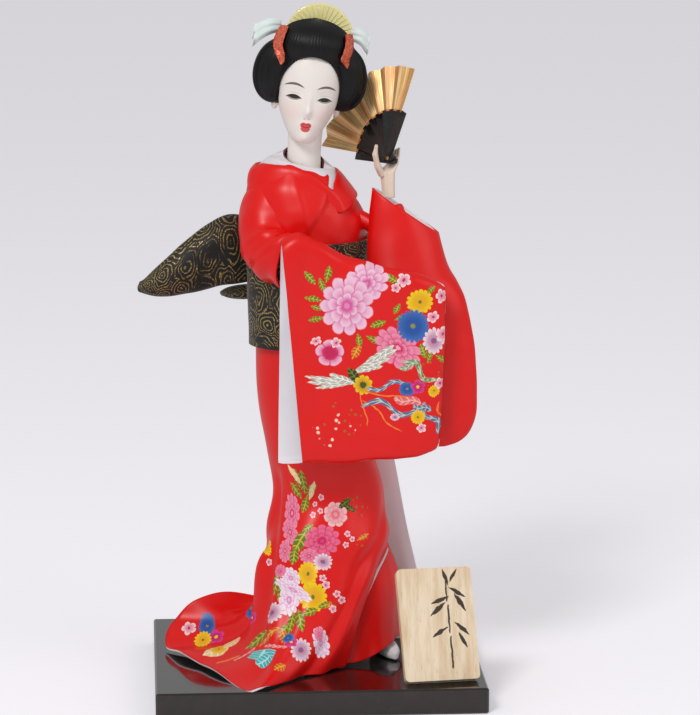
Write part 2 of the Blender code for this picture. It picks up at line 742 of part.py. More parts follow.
def make_hair(hair, comb_finish, blue, glitter):
    wig = wig_shape("wig", 0.0, hair)
    cut(wig, loft("room for the head in the wig", head_rings(GAP)))
    cut(wig, make_neck("room for the neck in the wig", GAP))
    for side in (-1, 1):
        x, y, z = EAR_PLACE
        room = [s + GAP for s in EAR]
        cut(wig, blob(f"ear room {side}", (side * x, y, z), room, head_frame(), 8, 5))

    frame = head_frame()
    rings = []
    for y in (-COMB_THICKNESS / 2, COMB_THICKNESS / 2):
        ring = []
        for i in range(4 * COMB_RIBS):
            a = tau * i / (4 * COMB_RIBS)
            reach = COMB_RADIUS - (0.5 if i % 2 else 0.0)
            x, depth, z = COMB_PLACE
            ring.append(frame @ Vector((x + reach * cos(a), depth + y, z + reach * sin(a))))
        rings.append(ring)
    comb = loft("comb", rings, comb_finish)
    cut(comb, wig_shape("wig room round the comb", WIG_ROOM))

    for name, side in (("left_ribbon_loop", -1), ("right_ribbon_loop", 1)):
        x, z = RIBBON_LOOP_PLACE
        y = COMB_PLACE[1] + COMB_THICKNESS / 2 + GAP + RIBBON_LOOP_SIZE[1]
        loop = blob(name, (side * x, y, z), RIBBON_LOOP_SIZE, frame, 10, 6, blue)
        cut(loop, wig_shape("wig room round the " + name, WIG_ROOM))

    half = RIBBON_THICKNESS / 2
    for name, side in (("left_glitter_ribbon", -1), ("right_glitter_ribbon", 1)):
        grid = []
        for j in range(6):
            elevation = radians(RIBBON_LOW + (RIBBON_HIGH - RIBBON_LOW) * j / 5)
            line = []
            for i in range(3):
                turn = (i / 2 - 0.5) * RIBBON_WIDTH / (COMB_RADIUS + 4)
                azimuth = side * (radians(RIBBON_AZIMUTH) + turn)
                line.append(wig_point(azimuth, elevation, WIG_ROOM + 2 * half))
            grid.append(line)
        strip = wall(name, grid, RIBBON_THICKNESS, glitter)
        cut(strip, wig_shape("wig room under the " + name, WIG_ROOM))


def skirt_rows():
    rows = []
    columns = len(SKIRT_FALLS[0])
    for height, x, y, half_width, half_depth in SKIRT_OVALS:
        line = []
        for k in range(columns):
            a = SKIRT_FROM + SKIRT_SWEEP * k / (columns - 1)
            line.append((x + half_width * cos(a), y + half_depth * sin(a), height))
        rows.append(line)
    return rows + [list(fall) for fall in SKIRT_FALLS]


def sheet_grid(rows, columns, count):
    """Points on the smooth sheet through rows of hanging points."""
    grid = []
    for j in range(count + 1):
        line = []
        for i in range(columns + 1):
            down = [through(row, i / columns) for row in rows]
            line.append(above(*through(down, j / count)))
        grid.append(line)
    return grid


def make_skirts(red, white):
    wall("kimono_skirt", sheet_grid(skirt_rows(), SKIRT_COLUMNS, SKIRT_ROWS), CLOTH, red)
    wall("under_skirt", sheet_grid(UNDER_SKIRT, PANEL_COLUMNS, PANEL_ROWS), CLOTH, red)
    wall("white_under_robe", sheet_grid(WHITE_ROBE, PANEL_COLUMNS, PANEL_ROWS), CLOTH, white)


def dip(angle, depth):
    """How far a collar drops towards its crossing in front."""
    away = (angle - FRONT_TURN + pi) % tau - pi
    return depth * exp(-abs(away) / COLLAR_SPREAD)


def make_collars(red, white):
    count = COLLAR_COLUMNS
    low = []
    rim = []
    high = []
    for i in range(count):
        a = tau * i / count
        low.append(oval_out(BODICE, a, WHITE_REACH - dip(a, WHITE_DIP), STEP))
        rim.append(oval_out(BODICE, a, 1.0, STEP) + Vector((0, 0, STEP)))
        neck = above(*NECK_FOOT).lerp(above(*NECK_TOP), 0.5)
        top = rim[-1].lerp(neck, 0.34)
        top.z = rim[-1].z + WHITE_LIFT * (1 - exp(-abs(((a - FRONT_TURN + pi) % tau - pi)) / 0.9))
        high.append(top)
    wall("white_collar", [low, rim, high], CLOTH, white, ring=True)
    low = []
    high = []
    for i in range(count):
        a = tau * i / count
        low.append(oval_out(BODICE, a, RED_REACH - dip(a, RED_DIP), 2 * STEP))
        high.append(oval_out(BODICE, a, RED_TOP - dip(a, RED_TOP_DIP), 2 * STEP + GAP))
    wall("red_collar", [low, high], CLOTH, red, ring=True)


def arm_route(points):
    return [above(*through(points, k / ARM_STEPS)) for k in range(ARM_STEPS + 1)]


def arm_room(name, points):
    route = arm_route(points)
    return pipe(name, route, [ARM + 2 * GAP] * len(route), ARM_SIDES)


def make_bodice(red):
    grid = oval_grid(BODICE, BODICE_COLUMNS, BODICE_ROWS)
    bodice = wall("kimono_bodice", grid, CLOTH, red, ring=True)
    cut(bodice, arm_room("right armhole", RIGHT_ARM))
    cut(bodice, arm_room("left armhole", LEFT_ARM))
    return bodice


def make_sash(brocade):
    grid = oval_grid(SASH, SASH_COLUMNS, SASH_ROWS)
    wall("sash", grid, SASH_CLOTH, brocade, ring=True)
    back = Vector((-sin(BOW_TURN), cos(BOW_TURN), 0))
    out = Vector((cos(BOW_TURN), sin(BOW_TURN), 0))
    height, x, y, half_width, half_depth, slope = through(SASH, 0.6)
    reach = half_depth + SASH_CLOTH / 2 + BOW_KNOT[1]
    knot = above(x, y, BOW_KNOT_HEIGHT) + back * reach
    turn = Matrix.Translation(knot) @ Matrix.Rotation(BOW_TURN, 4, "Z")

    rings = []
    for k in range(7):
        across = 2 * k / 6 - 1
        swell = sqrt(max(0.1, 1 - abs(across) ** 3))
        ring = []
        for i in range(12):
            a = tau * i / 12
            ring.append(turn @ Vector((
                BOW_KNOT[0] * across,
                BOW_KNOT[1] * swell * cos(a),
                BOW_KNOT[2] * swell * sin(a),
            )))
        rings.append(ring)
    knot_body = loft("bow_knot", rings, brocade)
    cut(knot_body, sash_room("sash room in the knot"))

    start = BOW_KNOT[0] + GAP - BOW_LOOP[0][0]
    for name, side in (("bow_left_loop", -1), ("bow_right_loop", 1)):
        grid = []
        for k in range(BOW_LOOP_ROUNDS + 1):
            t = k / BOW_LOOP_ROUNDS
            reach, rise, half_height, half_depth = through(BOW_LOOP, t)
            reach += start * (1 - t)
            line = []
            for i in range(BOW_LOOP_SIDES):
                a = tau * i / BOW_LOOP_SIDES
                y = half_depth * cos(a)
                lean = BOW_MOUTH_LEAN * (half_depth - y) * (1 - t) ** 2
                line.append(turn @ Vector((side * (reach + lean), y, rise + half_height * sin(a))))
            grid.append(line if side < 0 else line[::-1])
        wall(name, grid, SASH_CLOTH, brocade, ring=True, cap=True, middle=False)

    rings = []
    for k in range(7):
        across = 2 * k / 6 - 1
        swell = sqrt(max(0.12, 1 - abs(across) ** 6))
        middle = knot + out * BOW_ROLL[0] * across
        ring = []
        for i in range(10):
            a = tau * i / 10
            spot = middle + back * BOW_ROLL[1] * swell * cos(a)
            spot.z += BOW_ROLL[2] * swell * sin(a) - BOW_ROLL_DROP
            ring.append(spot)
        rings.append(ring)
    roll = loft("bow_lower_roll", rings, brocade)
    cut(roll, sash_room("sash room in the roll"))


def make_upper_sleeve(red):
    start, end = (Vector(way).to_track_quat("Z", "Y") for way in UPPER_SLEEVE_WAYS)
    grid = []
    for k in range(UPPER_SLEEVE_ROUNDS + 1):
        t = k / UPPER_SLEEVE_ROUNDS
        x, y, height, half_height, half_depth = through(UPPER_SLEEVE, t)
        turn = start.slerp(end, t)
        line = []
        for i in range(UPPER_SLEEVE_SIDES):
            a = tau * i / UPPER_SLEEVE_SIDES
            round_point = Vector((half_depth * cos(a), half_height * sin(a), 0))
            line.append(above(x, y, height) + turn @ round_point)
        grid.append(line[::-1])
    sleeve = wall("right_upper_sleeve", grid, CLOTH, red, ring=True, middle=False)
    cut(sleeve, bodice_room("bodice room in the upper sleeve"))
    cut(sleeve, sash_room("sash room in the upper sleeve"))
    cut(sleeve, arm_room("arm room in the upper sleeve", RIGHT_ARM))


def sleeve_point(u, share, depth, front):
    """A point of the hanging sleeve: u runs from its open side to its outer end."""
    x, top = through(SLEEVE_TOP, u)
    first = SLEEVE_FRONT_EDGE_SHIFT if front else SLEEVE_BACK_EDGE_SHIFT
    x += first * share * (1 - u) - SLEEVE_OUTER_EDGE_SHIFT * share * u**4
    bottom = SLEEVE_TOP[0][1] - SLEEVE_DROP_LEFT + SLEEVE_BOTTOM_RISE * u**3
    narrow = sqrt(max(0.06, 1 - u**10))
    y = SLEEVE_HALF_DEPTH * depth * narrow
    round_end = 0.06 * max(0.0, u - 0.9) / 0.1
    fall = top + (bottom - top) * (share + round_end * (0.5 - share))
    return above(x, SLEEVE_MIDDLE_Y + (-y if front else y), fall)


def make_hanging_sleeve(red):
    grid = []
    for k in range(SLEEVE_STATIONS + 1):
        u = k / SLEEVE_STATIONS
        line = [sleeve_point(u, share, depth, True) for share, depth in SLEEVE_SECTION]
        back = [sleeve_point(u, share, depth, False) for share, depth in SLEEVE_SECTION[-2:0:-1]]
        grid.append(line + back)
    sleeve = wall("right_sleeve", grid, CLOTH, red, ring=True, cap=True, middle=False)
    cut(sleeve, arm_room("arm room in the hanging sleeve", RIGHT_ARM))


def make_left_sleeve(red):
    grid = []
    for j in range(LEFT_SLEEVE_ROWS + 1):
        height, x, y, half_width, half_depth, slope = through(LEFT_SLEEVE, j / LEFT_SLEEVE_ROWS)
        line = []
        for i in range(LEFT_SLEEVE_SIDES):
            a = tau * i / LEFT_SLEEVE_SIDES
            across = half_width * cos(a)
            line.append(above(x + across, y + half_depth * sin(a), height - slope * across))
        grid.append(line[::-1])
    sleeve = wall("left_sleeve", grid, CLOTH, red, ring=True, cap=True, middle=False)
    cut(sleeve, bodice_room("bodice room in the left sleeve"))
    cut(sleeve, sash_room("sash room in the left sleeve"))
    cut(sleeve, arm_room("arm room in the left sleeve", LEFT_ARM))


def make_arms(padding, skin):
    for name, points in (("right_arm", RIGHT_ARM), ("left_arm", LEFT_ARM)):
        route = arm_route(points)
        arm = pipe(name, route, [ARM] * len(route), ARM_SIDES, padding)
        cut(arm, oval_room("body room in the " + name, BODY, BODY_COLUMNS, BODY_ROWS, GAP))
        cut(arm, sash_room("sash room in the " + name))
    blob("right_hand", above(*RIGHT_HAND), RIGHT_HAND_SIZE, None, 10, 7, skin)


def fan_axes():
    up = Vector(FAN_UP).normalized()
    side = Vector(FAN_SIDE)
    side = (side - up * side.dot(up)).normalized()
    return up, side, up.cross(side)


def fan_spot(angle, reach, off):
    up, side, way = fan_axes()
    spoke = up * cos(angle) + side * sin(angle)
    return above(*PIVOT) + spoke * reach + way * off


def stick_angle(k):
    return radians(FAN_SPREAD) * k / (STICK_COUNT - 1)


def stick_offset(k):
    return ((STICK_COUNT - 1) / 2 - k) * (STICK_THICKNESS + STICK_GAP)


def make_fan(black, gold, brass):
    up, side, way = fan_axes()
    for k in range(STICK_COUNT):
        angle = stick_angle(k)
        spoke = up * cos(angle) + side * sin(angle)
        across = way.cross(spoke)
        middle = above(*PIVOT)
        rings = []
        for off in (-STICK_THICKNESS / 2, STICK_THICKNESS / 2):
            level = middle + way * (stick_offset(k) + off)
            ring = []
            for i in range(4):
                a = pi / 2 + pi * i / 3
                ring.append(level + spoke * STICK_TAIL * cos(a) + across * STICK_NARROW / 2 * sin(a))
            ring.append(level + spoke * STICK_LENGTH - across * STICK_WIDE / 2)
            ring.append(level + spoke * (STICK_LENGTH + 0.6))
            ring.append(level + spoke * STICK_LENGTH + across * STICK_WIDE / 2)
            rings.append(ring)
        stick = loft(f"fan_stick_{k + 1}", rings, black, sharp=30.0)
        reach = STICK_COUNT * (STICK_THICKNESS + STICK_GAP)
        hole = [middle - way * reach, middle + way * reach]
        cut(stick, pipe(f"rivet hole {k + 1}", hole, [RIVET / 2 + STICK_GAP] * 2, 6))

    half = (STICK_THICKNESS + STICK_GAP) * STICK_COUNT / 2
    middle = above(*PIVOT)
    route = []
    sizes = []
    for off, size in (
        (-half - RIVET_HEAD_HEIGHT, RIVET_HEAD * 0.7), (-half - STICK_GAP, RIVET_HEAD),
        (-half - STICK_GAP + 0.01, RIVET), (half + STICK_GAP - 0.01, RIVET),
        (half + STICK_GAP, RIVET_HEAD), (half + RIVET_HEAD_HEIGHT, RIVET_HEAD * 0.7),
    ):
        route.append(middle + way * off)
        sizes.append(size / 2)
    pipe("fan_rivet", route, sizes, 6, brass)

    folds = 2 * (STICK_COUNT - 1)
    start = STICK_LENGTH + 0.6 + GAP
    grid = []
    for reach, pleat in ((start, PLEAT_INNER), (FAN_RADIUS, PLEAT_OUTER)):
        line = []
        for i in range(folds + 1):
            angle = radians(FAN_SPREAD) * i / folds
            lift = pleat / 2 * (1 if i % 2 == 0 else -1)
            stack = stick_offset(i / 2) * start / reach
            line.append(fan_spot(angle, reach, lift + stack))
        grid.append(line)
    wall("fan_leaf", grid, LEAF_THICKNESS, gold)


def make_left_hand(skin):
    """The raised hand: a tapered forearm, a palm behind the sticks, and the fingers round them."""
    up, side, way = fan_axes()
    low = above(*WRIST)
    high = above(*FOREARM_TOP)
    grip = above(*PIVOT) - way * PALM_BEHIND_FAN
    route = [low, low.lerp(high, 0.45), high, high.lerp(grip, 0.7), grip + Vector((0, 0, PALM_RISE))]
    halves = (WRIST_HALF, WRIST_HALF, PALM_HALF, PALM_HALF, PALM_HALF * 0.75)
    rings = []
    for k, middle in enumerate(route):
        ring = []
        for i in range(12):
            a = tau * i / 12
            across = Vector((cos(PALM_TURN), sin(PALM_TURN), 0)) * halves[k] * cos(a)
            deep = Vector((-sin(PALM_TURN), cos(PALM_TURN), 0)) * halves[k] * HAND_FLATS[k] * sin(a)
            ring.append(middle + across + deep)
        rings.append(ring)
    hand = loft("left_hand", rings, skin)
    join(hand, pipe("thumb", [high + Vector(p) for p in THUMB], THUMB_HALVES, 6))
    for k in range(3):
        root = grip + Vector(FINGER_ROOT) + Vector(FINGER_STEP) * k
        finger = [root, root + Vector(FINGER_MIDDLE), root + Vector(FINGER_TIP) - Vector((0, 0, k))]
        join(hand, pipe(f"finger {k + 1}", finger, FINGER_HALVES, 6))


def build():
    clear_scene()
    lacquer = material("black lacquer", (0.012, 0.008, 0.007), 0.12)
    wood = material("pale wood", (0.72, 0.55, 0.38), 0.6)
    satin = material("red satin", (0.75, 0.02, 0.012), 0.38)
    lining = material("white lining", (0.85, 0.82, 0.82), 0.6)
    brocade = material("black and gold brocade", (0.03, 0.022, 0.012), 0.5)
    skin = material("white face paint", (0.86, 0.8, 0.75), 0.4)
    hair = material("black hair", (0.012, 0.012, 0.014), 0.5)
    yellow = material("yellow comb", (0.9, 0.78, 0.3), 0.3)
    blue = material("pale blue ribbon", (0.7, 0.82, 0.82), 0.5)
    glitter = material("red glitter", (0.7, 0.08, 0.05), 0.4)
    black = material("black plastic", (0.012, 0.01, 0.01), 0.2)
    gold = material("gold foil", (0.8, 0.55, 0.22), 0.3, 0.9)
    brass = material("brass", (0.75, 0.6, 0.3), 0.3, 1.0)
    steel = material("steel wire", (0.5, 0.5, 0.5), 0.4, 1.0)
    padding = material("cotton padding", (0.8, 0.78, 0.72), 0.8)

    make_base(lacquer)
    make_plaque(wood)
    make_feet(lining, steel)
    make_body(padding)
    make_skirts(satin, lining)
    make_bodice(satin)
    make_collars(satin, lining)
    make_sash(brocade)
    make_upper_sleeve(satin)
    make_hanging_sleeve(satin)
    make_left_sleeve(satin)
    make_arms(padding, skin)
    make_head(skin)
    make_hair(hair, yellow, blue, glitter)
    make_left_hand(skin)
    make_fan(black, gold, brass)


build()
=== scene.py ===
# %% [markdown]
# # A kimono doll raising a folding fan
#
# The real doll is a stuffed form on two wires, dressed in printed satin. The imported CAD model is
# the fixed frame, and this script gives it its looks: soft cloth, brocade, hair, a painted face,
# gold foil and lacquer. Sizes are in millimetres in the tables, as a maker would write them, and
# turn into metres when a mesh is made.

# %% Load the frame
import bpy
import bmesh
from functools import partial
from math import cos, exp, log, pi, radians, sin, sqrt, tau
from mathutils import Matrix, Vector, noise


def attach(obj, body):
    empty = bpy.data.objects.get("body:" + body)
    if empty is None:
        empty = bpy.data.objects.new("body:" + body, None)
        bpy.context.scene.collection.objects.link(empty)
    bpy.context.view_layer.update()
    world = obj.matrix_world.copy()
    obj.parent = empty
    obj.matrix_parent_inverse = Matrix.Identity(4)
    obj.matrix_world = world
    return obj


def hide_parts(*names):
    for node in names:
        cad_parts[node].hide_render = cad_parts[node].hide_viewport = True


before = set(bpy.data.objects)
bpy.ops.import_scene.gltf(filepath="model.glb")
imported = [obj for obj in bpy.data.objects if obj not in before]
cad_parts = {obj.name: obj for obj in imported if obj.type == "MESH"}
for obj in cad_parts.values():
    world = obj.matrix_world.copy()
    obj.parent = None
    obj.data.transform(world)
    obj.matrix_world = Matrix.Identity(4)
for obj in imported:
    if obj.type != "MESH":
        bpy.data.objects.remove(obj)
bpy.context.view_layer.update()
MM = 0.001
BASE_HEIGHT = 12.0
scene = bpy.context.scene

# %% [markdown]
# The camera comes first. Its place was solved from the straight edges of the base and from the
# doll's axis, so the picture's lines meet where the photograph's do. A long lens from 1.5 metres
# keeps the doll's proportions calm.

# %% Camera
camera_data = bpy.data.cameras.new("camera")
camera_data.sensor_width = 36.0
camera_data.lens = 171.19
camera_data.clip_end = 30.0
camera = bpy.data.objects.new("camera", camera_data)
camera.location = (-0.0806, -1.5264, 0.4591)
camera.rotation_euler = (radians(78.6496), 0.0, radians(-3.6256))
scene.collection.objects.link(camera)
scene.camera = camera

# %% [markdown]
# A shader is a tree of small nodes. One short helper makes a node, sets its values and links what
# it is given, so that each finish below reads as a list of what it is made of.

# %% Shader helpers
def node(tree, kind, inputs=None, **settings):
    """Makes a node. An input that is given a socket is linked, and any other is set."""
    made = tree.nodes.new(kind)
    for name, value in settings.items():
        setattr(made, name, value)
    for key, value in (inputs or {}).items():
        if isinstance(value, bpy.types.NodeSocket):
            tree.links.new(value, made.inputs[key])
        else:
            made.inputs[key].default_value = value
    return made


def linked(kind, inputs, **settings):
    """Makes a node in the tree of the first socket among its inputs."""
    first = next(value for value in inputs.values() if isinstance(value, bpy.types.NodeSocket))
    return node(first.id_data, kind, inputs, **settings)


def sums(operation, a, b=0.0):
    return linked("ShaderNodeMath", {0: a, 1: b}, operation=operation).outputs[0]


plus, minus, times, over = (partial(sums, kind) for kind in ("ADD", "SUBTRACT", "MULTIPLY", "DIVIDE"))
size_of, sine, power = (partial(sums, kind) for kind in ("ABSOLUTE", "SINE", "POWER"))


def mixed(share, a, b):
    return linked("ShaderNodeMix", {0: share, 6: a, 7: b}, data_type="RGBA").outputs[2]


def stepped(value, low, high, out_low=0.0, out_high=1.0):
    """A smooth step from out_low to out_high as the value goes from low to high."""
    inputs = {"Value": value, "From Min": low, "From Max": high, "To Min": out_low, "To Max": out_high}
    return linked("ShaderNodeMapRange", inputs, interpolation_type="SMOOTHSTEP").outputs[0]


def rgb(*colour):
    """A colour as the eye reads it on a screen, 0 to 255, turned into the shader's linear light."""
    return (*[(c / 255 / 12.92) if c < 11 else ((c / 255 + 0.055) / 1.055) ** 2.4 for c in colour], 1.0)


def new_finish(name, colour, roughness, **sockets):
    made = bpy.data.materials.new(name)
    made.use_nodes = True
    shader = made.node_tree.nodes["Principled BSDF"]
    shader.inputs["Base Color"].default_value = colour
    shader.inputs["Roughness"].default_value = roughness
    for key, value in sockets.items():
        shader.inputs[key.replace("_", " ")].default_value = value
    return made


def shader_of(finish):
    return finish.node_tree.nodes["Principled BSDF"]


def link_in(finish, socket, key):
    finish.node_tree.links.new(socket, shader_of(finish).inputs[key])


def bumped(finish, height, strength, distance):
    bump = linked("ShaderNodeBump", {"Height": height, "Strength": strength, "Distance": distance})
    link_in(finish, bump.outputs[0], "Normal")


def object_place(finish):
    return node(finish.node_tree, "ShaderNodeTexCoord").outputs["Object"]


def uv_place(finish):
    return node(finish.node_tree, "ShaderNodeUVMap", uv_map="cloth").outputs[0]


def noisy(place, scale, detail=2.0, roughness=0.5):
    inputs = {"Vector": place, "Scale": scale, "Detail": detail, "Roughness": roughness}
    return linked("ShaderNodeTexNoise", inputs)


def scaled(place, scale):
    return linked("ShaderNodeMapping", {"Vector": place, "Scale": scale}).outputs[0]


# %% [markdown]
# Every piece is a grid of points or a closed skin. These helpers turn rows of points into a mesh
# with a map in millimetres of cloth, so that weave and print keep their scale, and give cloth its
# thickness with a lining on the inside.

# %% Mesh helpers
def through(rows, t):
    """A smooth curve through rows of numbers, at t from 0 to 1."""
    last = len(rows) - 1
    place = min(max(t, 0.0), 1.0) * last
    k = min(int(place), last - 1)
    f = place - k
    result = []
    for a, b, c, d in zip(rows[max(k - 1, 0)], rows[k], rows[k + 1], rows[min(k + 2, last)]):
        into = (c - a) / 2
        out = (d - b) / 2
        result.append(
            b * (2 * f**3 - 3 * f**2 + 1) + into * (f**3 - 2 * f**2 + f)
            + c * (3 * f**2 - 2 * f**3) + out * (f**3 - f**2)
        )
    return result


def above(x, y, height):
    return Vector((x, y, BASE_HEIGHT + height))


def bell(value, middle, width):
    return exp(-((value - middle) / width) ** 2)


def smooth(value, low, high):
    t = min(max((value - low) / (high - low), 0.0), 1.0)
    return t * t * (3 - 2 * t)


def waves(point, size, seed=0.0):
    """Soft unevenness between -1 and 1, of about that size in millimetres."""
    return noise.noise(Vector(point) / size + Vector((seed, 3.1 * seed, -seed)))


def link(name, mesh):
    item = bpy.data.objects.new(name, mesh)
    scene.collection.objects.link(item)
    return item


def plain(item):
    """Bakes the modifiers into a plain mesh."""
    bpy.context.view_layer.update()
    graph = bpy.context.evaluated_depsgraph_get()
    mesh = bpy.data.meshes.new_from_object(item.evaluated_get(graph))
    item.modifiers.clear()
    item.data = mesh
    mesh.shade_smooth()
    return item


def net(rows, columns, spot):
    """A grid of points spot(u, v): u goes from 0 to 1 along each row, and v from row to row."""
    return [[spot(i / columns, j / rows) for i in range(columns + 1)] for j in range(rows + 1)]


def tube(rows, sides, spot, way=1):
    """Rings of points spot(angle, v). A way of -1 lays each ring the other way round."""
    return [[spot(tau * i / sides, j / rows) for i in range(sides)][::way] for j in range(rows + 1)]


def globe(rows, sides, spot):
    """Rings of points spot(angle, tall) from pole to pole, where tall goes from 0 to pi."""
    return [[spot(tau * i / sides, pi * j / rows) for i in range(sides)] for j in range(1, rows)]


def moved_out(grid, move, ring):
    """Moves each point of a grid out along its own normal, by move(u, v, point) millimetres."""
    rows, columns = len(grid), len(grid[0])
    last = columns if ring else columns - 1

    def spot(i, j):
        line = grid[j]
        ahead = line[(i + 1) % columns if ring else min(i + 1, last)]
        behind = line[i - 1 if ring else max(i - 1, 0)]
        down = grid[min(j + 1, rows - 1)][i] - grid[max(j - 1, 0)][i]
        way = (ahead - behind).cross(down).normalized()
        return line[i] + way * move(i / last, j / (rows - 1), line[i])

    return [[spot(i, j) for i in range(columns)] for j in range(rows)]


def grid_mesh(name, grid, ring, cap=0):
    """A skin from rows of points, with a map of its cloth in millimetres in the layer "cloth".
    A cap of 1 closes a ring's last row, and 2 closes both its ends."""
    rows, columns = len(grid) - 1, len(grid[0]) - (not ring)
    wide, high = arc_sizes(grid, ring)
    work = bmesh.new()
    layer = work.loops.layers.uv.new("cloth")
    dots = [[work.verts.new(Vector(p) * MM) for p in line] for line in grid]

    def add(spots, places):
        for loop, (a, b) in zip(work.faces.new(spots).loops, places):
            loop[layer].uv = (wide * a / columns, high * b / rows)

    for j in range(rows):
        for i in range(columns):
            k = (i + 1) % len(grid[0])
            add((dots[j][i], dots[j][k], dots[j + 1][k], dots[j + 1][i]),
                ((i, j), (i + 1, j), (i + 1, j + 1), (i, j + 1)))
    for line, level in ((dots[-1], rows), (dots[0], 0))[:cap]:
        middle = work.verts.new(sum((d.co for d in line), Vector()) / columns)
        for i in range(columns):
            add((line[i], line[(i + 1) % columns], middle), [(i, level)] * 3)
    if cap == 2:
        bmesh.ops.recalc_face_normals(work, faces=work.faces)
    mesh = bpy.data.meshes.new(name)
    work.to_mesh(mesh)
    work.free()
    return mesh


def arc_sizes(grid, ring):
    """The mean width and length of a grid of points, in millimetres."""
    wide = 0.0
    for line in grid:
        pairs = list(zip(line, line[1:])) + ([(line[-1], line[0])] if ring else [])
        wide += sum((Vector(a) - Vector(b)).length for a, b in pairs) / len(grid)
    high = 0.0
    for i in range(len(grid[0])):
        line = [row[i] for row in grid]
        high += sum((Vector(a) - Vector(b)).length for a, b in zip(line, line[1:])) / len(grid[0])
    return wide, high


def turned_out(mesh, ring):
    """Turns the faces away from the piece's middle or, on an open sheet, away from the doll's axis."""
    middle = sum((v.co for v in mesh.vertices), Vector()) / len(mesh.vertices)
    if not ring:
        middle = Vector((0, 5 * MM, 0))
    total = 0.0
    for face in mesh.polygons:
        away = face.center - middle
        if not ring:
            away.z = 0.0
        total += away.dot(face.normal) * face.area
    if total < 0:
        mesh.flip_normals()


def softened(item):
    soft = item.modifiers.new("softer", "SUBSURF")
    soft.levels = soft.render_levels = 1


def cloth(name, grid, thickness, outside, inside=None, ring=False, cap=0, finer=True, clear=(), rim=0):
    """A piece of cloth from its grid of points, with a lining and a turned edge."""
    mesh = grid_mesh(name, grid, ring, cap)
    if clear:
        clear_of(mesh, clear)
    mesh.materials.append(outside)
    mesh.materials.append(inside or outside)
    turned_out(mesh, ring)
    item = link(name, mesh)
    if finer:
        softened(item)
    thick = item.modifiers.new("thickness", "SOLIDIFY")
    thick.thickness = thickness * MM
    thick.offset = 0.0
    thick.use_even_offset = False
    thick.material_offset = 1
    thick.material_offset_rim = rim
    return plain(item)


def closed_skin(name, rings, finish, finer=False):
    """One closed skin through rings of points, with a map in millimetres."""
    mesh = grid_mesh(name, rings, True, 2)
    mesh.materials.append(finish)
    item = link(name, mesh)
    if finer:
        softened(item)
    return plain(item)


def worn(item, *nodes, slot):
    """The piece rides on the doll and stands for its CAD nodes. Its slot is not used."""
    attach(item, "root")
    if nodes:
        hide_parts(*nodes)
    print(item.name, len(item.data.polygons), "faces")
    return item


def dressed(name, grid, *finish, solid="", slot, held, rests_on, **form):
    """A cloth in its solid's place. The flat size it was cut to is measured along its rows
    and columns, and printed."""
    item = worn(cloth(name, grid, *finish, **form), *solid.split(), slot=slot)
    width, length = arc_sizes(grid, form.get("ring", False))
    print(name, "flat size in mm:", round(width, 1), round(length, 1))
    return item


def remade(item, finish, grain=0.0, turns=0, rounded=0.0):
    """Remakes a piece as one smooth skin by a fine voxel remesh, or rounds its edges."""
    if grain:
        step = item.modifiers.new("one skin", "REMESH")
        step.mode = "VOXEL"
        step.voxel_size = grain * MM
        soft = item.modifiers.new("soft seams", "SMOOTH")
        soft.factor = 0.5
        soft.iterations = turns
    if rounded:
        edge = item.modifiers.new("rounded edges", "BEVEL")
        edge.width = rounded * MM
        edge.segments = 3
        edge.limit_method = "ANGLE"
    plain(item)
    item.data.materials.clear()
    item.data.materials.append(finish)
    if rounded:
        item.data.set_sharp_from_angle(angle=radians(35))
    return item


def copied(name, solid, finish, **form):
    """A finer copy of a solid piece."""
    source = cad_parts[solid]
    mesh = source.data.copy()
    mesh.transform(source.matrix_world)
    return remade(link(name, mesh), finish, **form)


# %% [markdown]
# ## Printed flowers
#
# The satin is printed with peonies, chrysanthemums, blossoms, leaves and a small bird. Each motif
# is a node group that lays one flower or one leaf over the cloth's colour. It knows its middle in
# space and two directions along the cloth, so it lies flat on the surface where it is printed and
# doesn't streak over a fold. The layout is a list of motifs, placed one by one.

# %% A flower and a leaf as node groups
def new_group(name, sockets):
    tree = bpy.data.node_groups.new(name, "ShaderNodeTree")
    kinds = {"C": "NodeSocketColor", "V": "NodeSocketVector", "F": "NodeSocketFloat"}
    for label, kind in sockets:
        tree.interface.new_socket(label, in_out="INPUT", socket_type=kinds[kind])
    tree.interface.new_socket("Cloth", in_out="OUTPUT", socket_type="NodeSocketColor")
    return tree, tree.nodes.new("NodeGroupInput").outputs, tree.nodes.new("NodeGroupOutput").inputs


def dotted(a, b):
    return linked("ShaderNodeVectorMath", {0: a, 1: b}, operation="DOT_PRODUCT").outputs["Value"]


COMMON = [("Cloth", "C"), ("Place", "V"), ("Middle", "V"), ("Across", "V"), ("Up", "V"), ("Out", "V")]


def local_place(given):
    """Where a point is on the motif, from -1 to 1 each way, and 1 where it is near its surface."""
    away = linked("ShaderNodeVectorMath", {0: given["Place"], 1: given["Middle"]}, operation="SUBTRACT")
    x, y, out = (dotted(away.outputs[0], given[key]) for key in ("Across", "Up", "Out"))
    near = sums("LESS_THAN", size_of(out), 1.0)
    return x, y, near


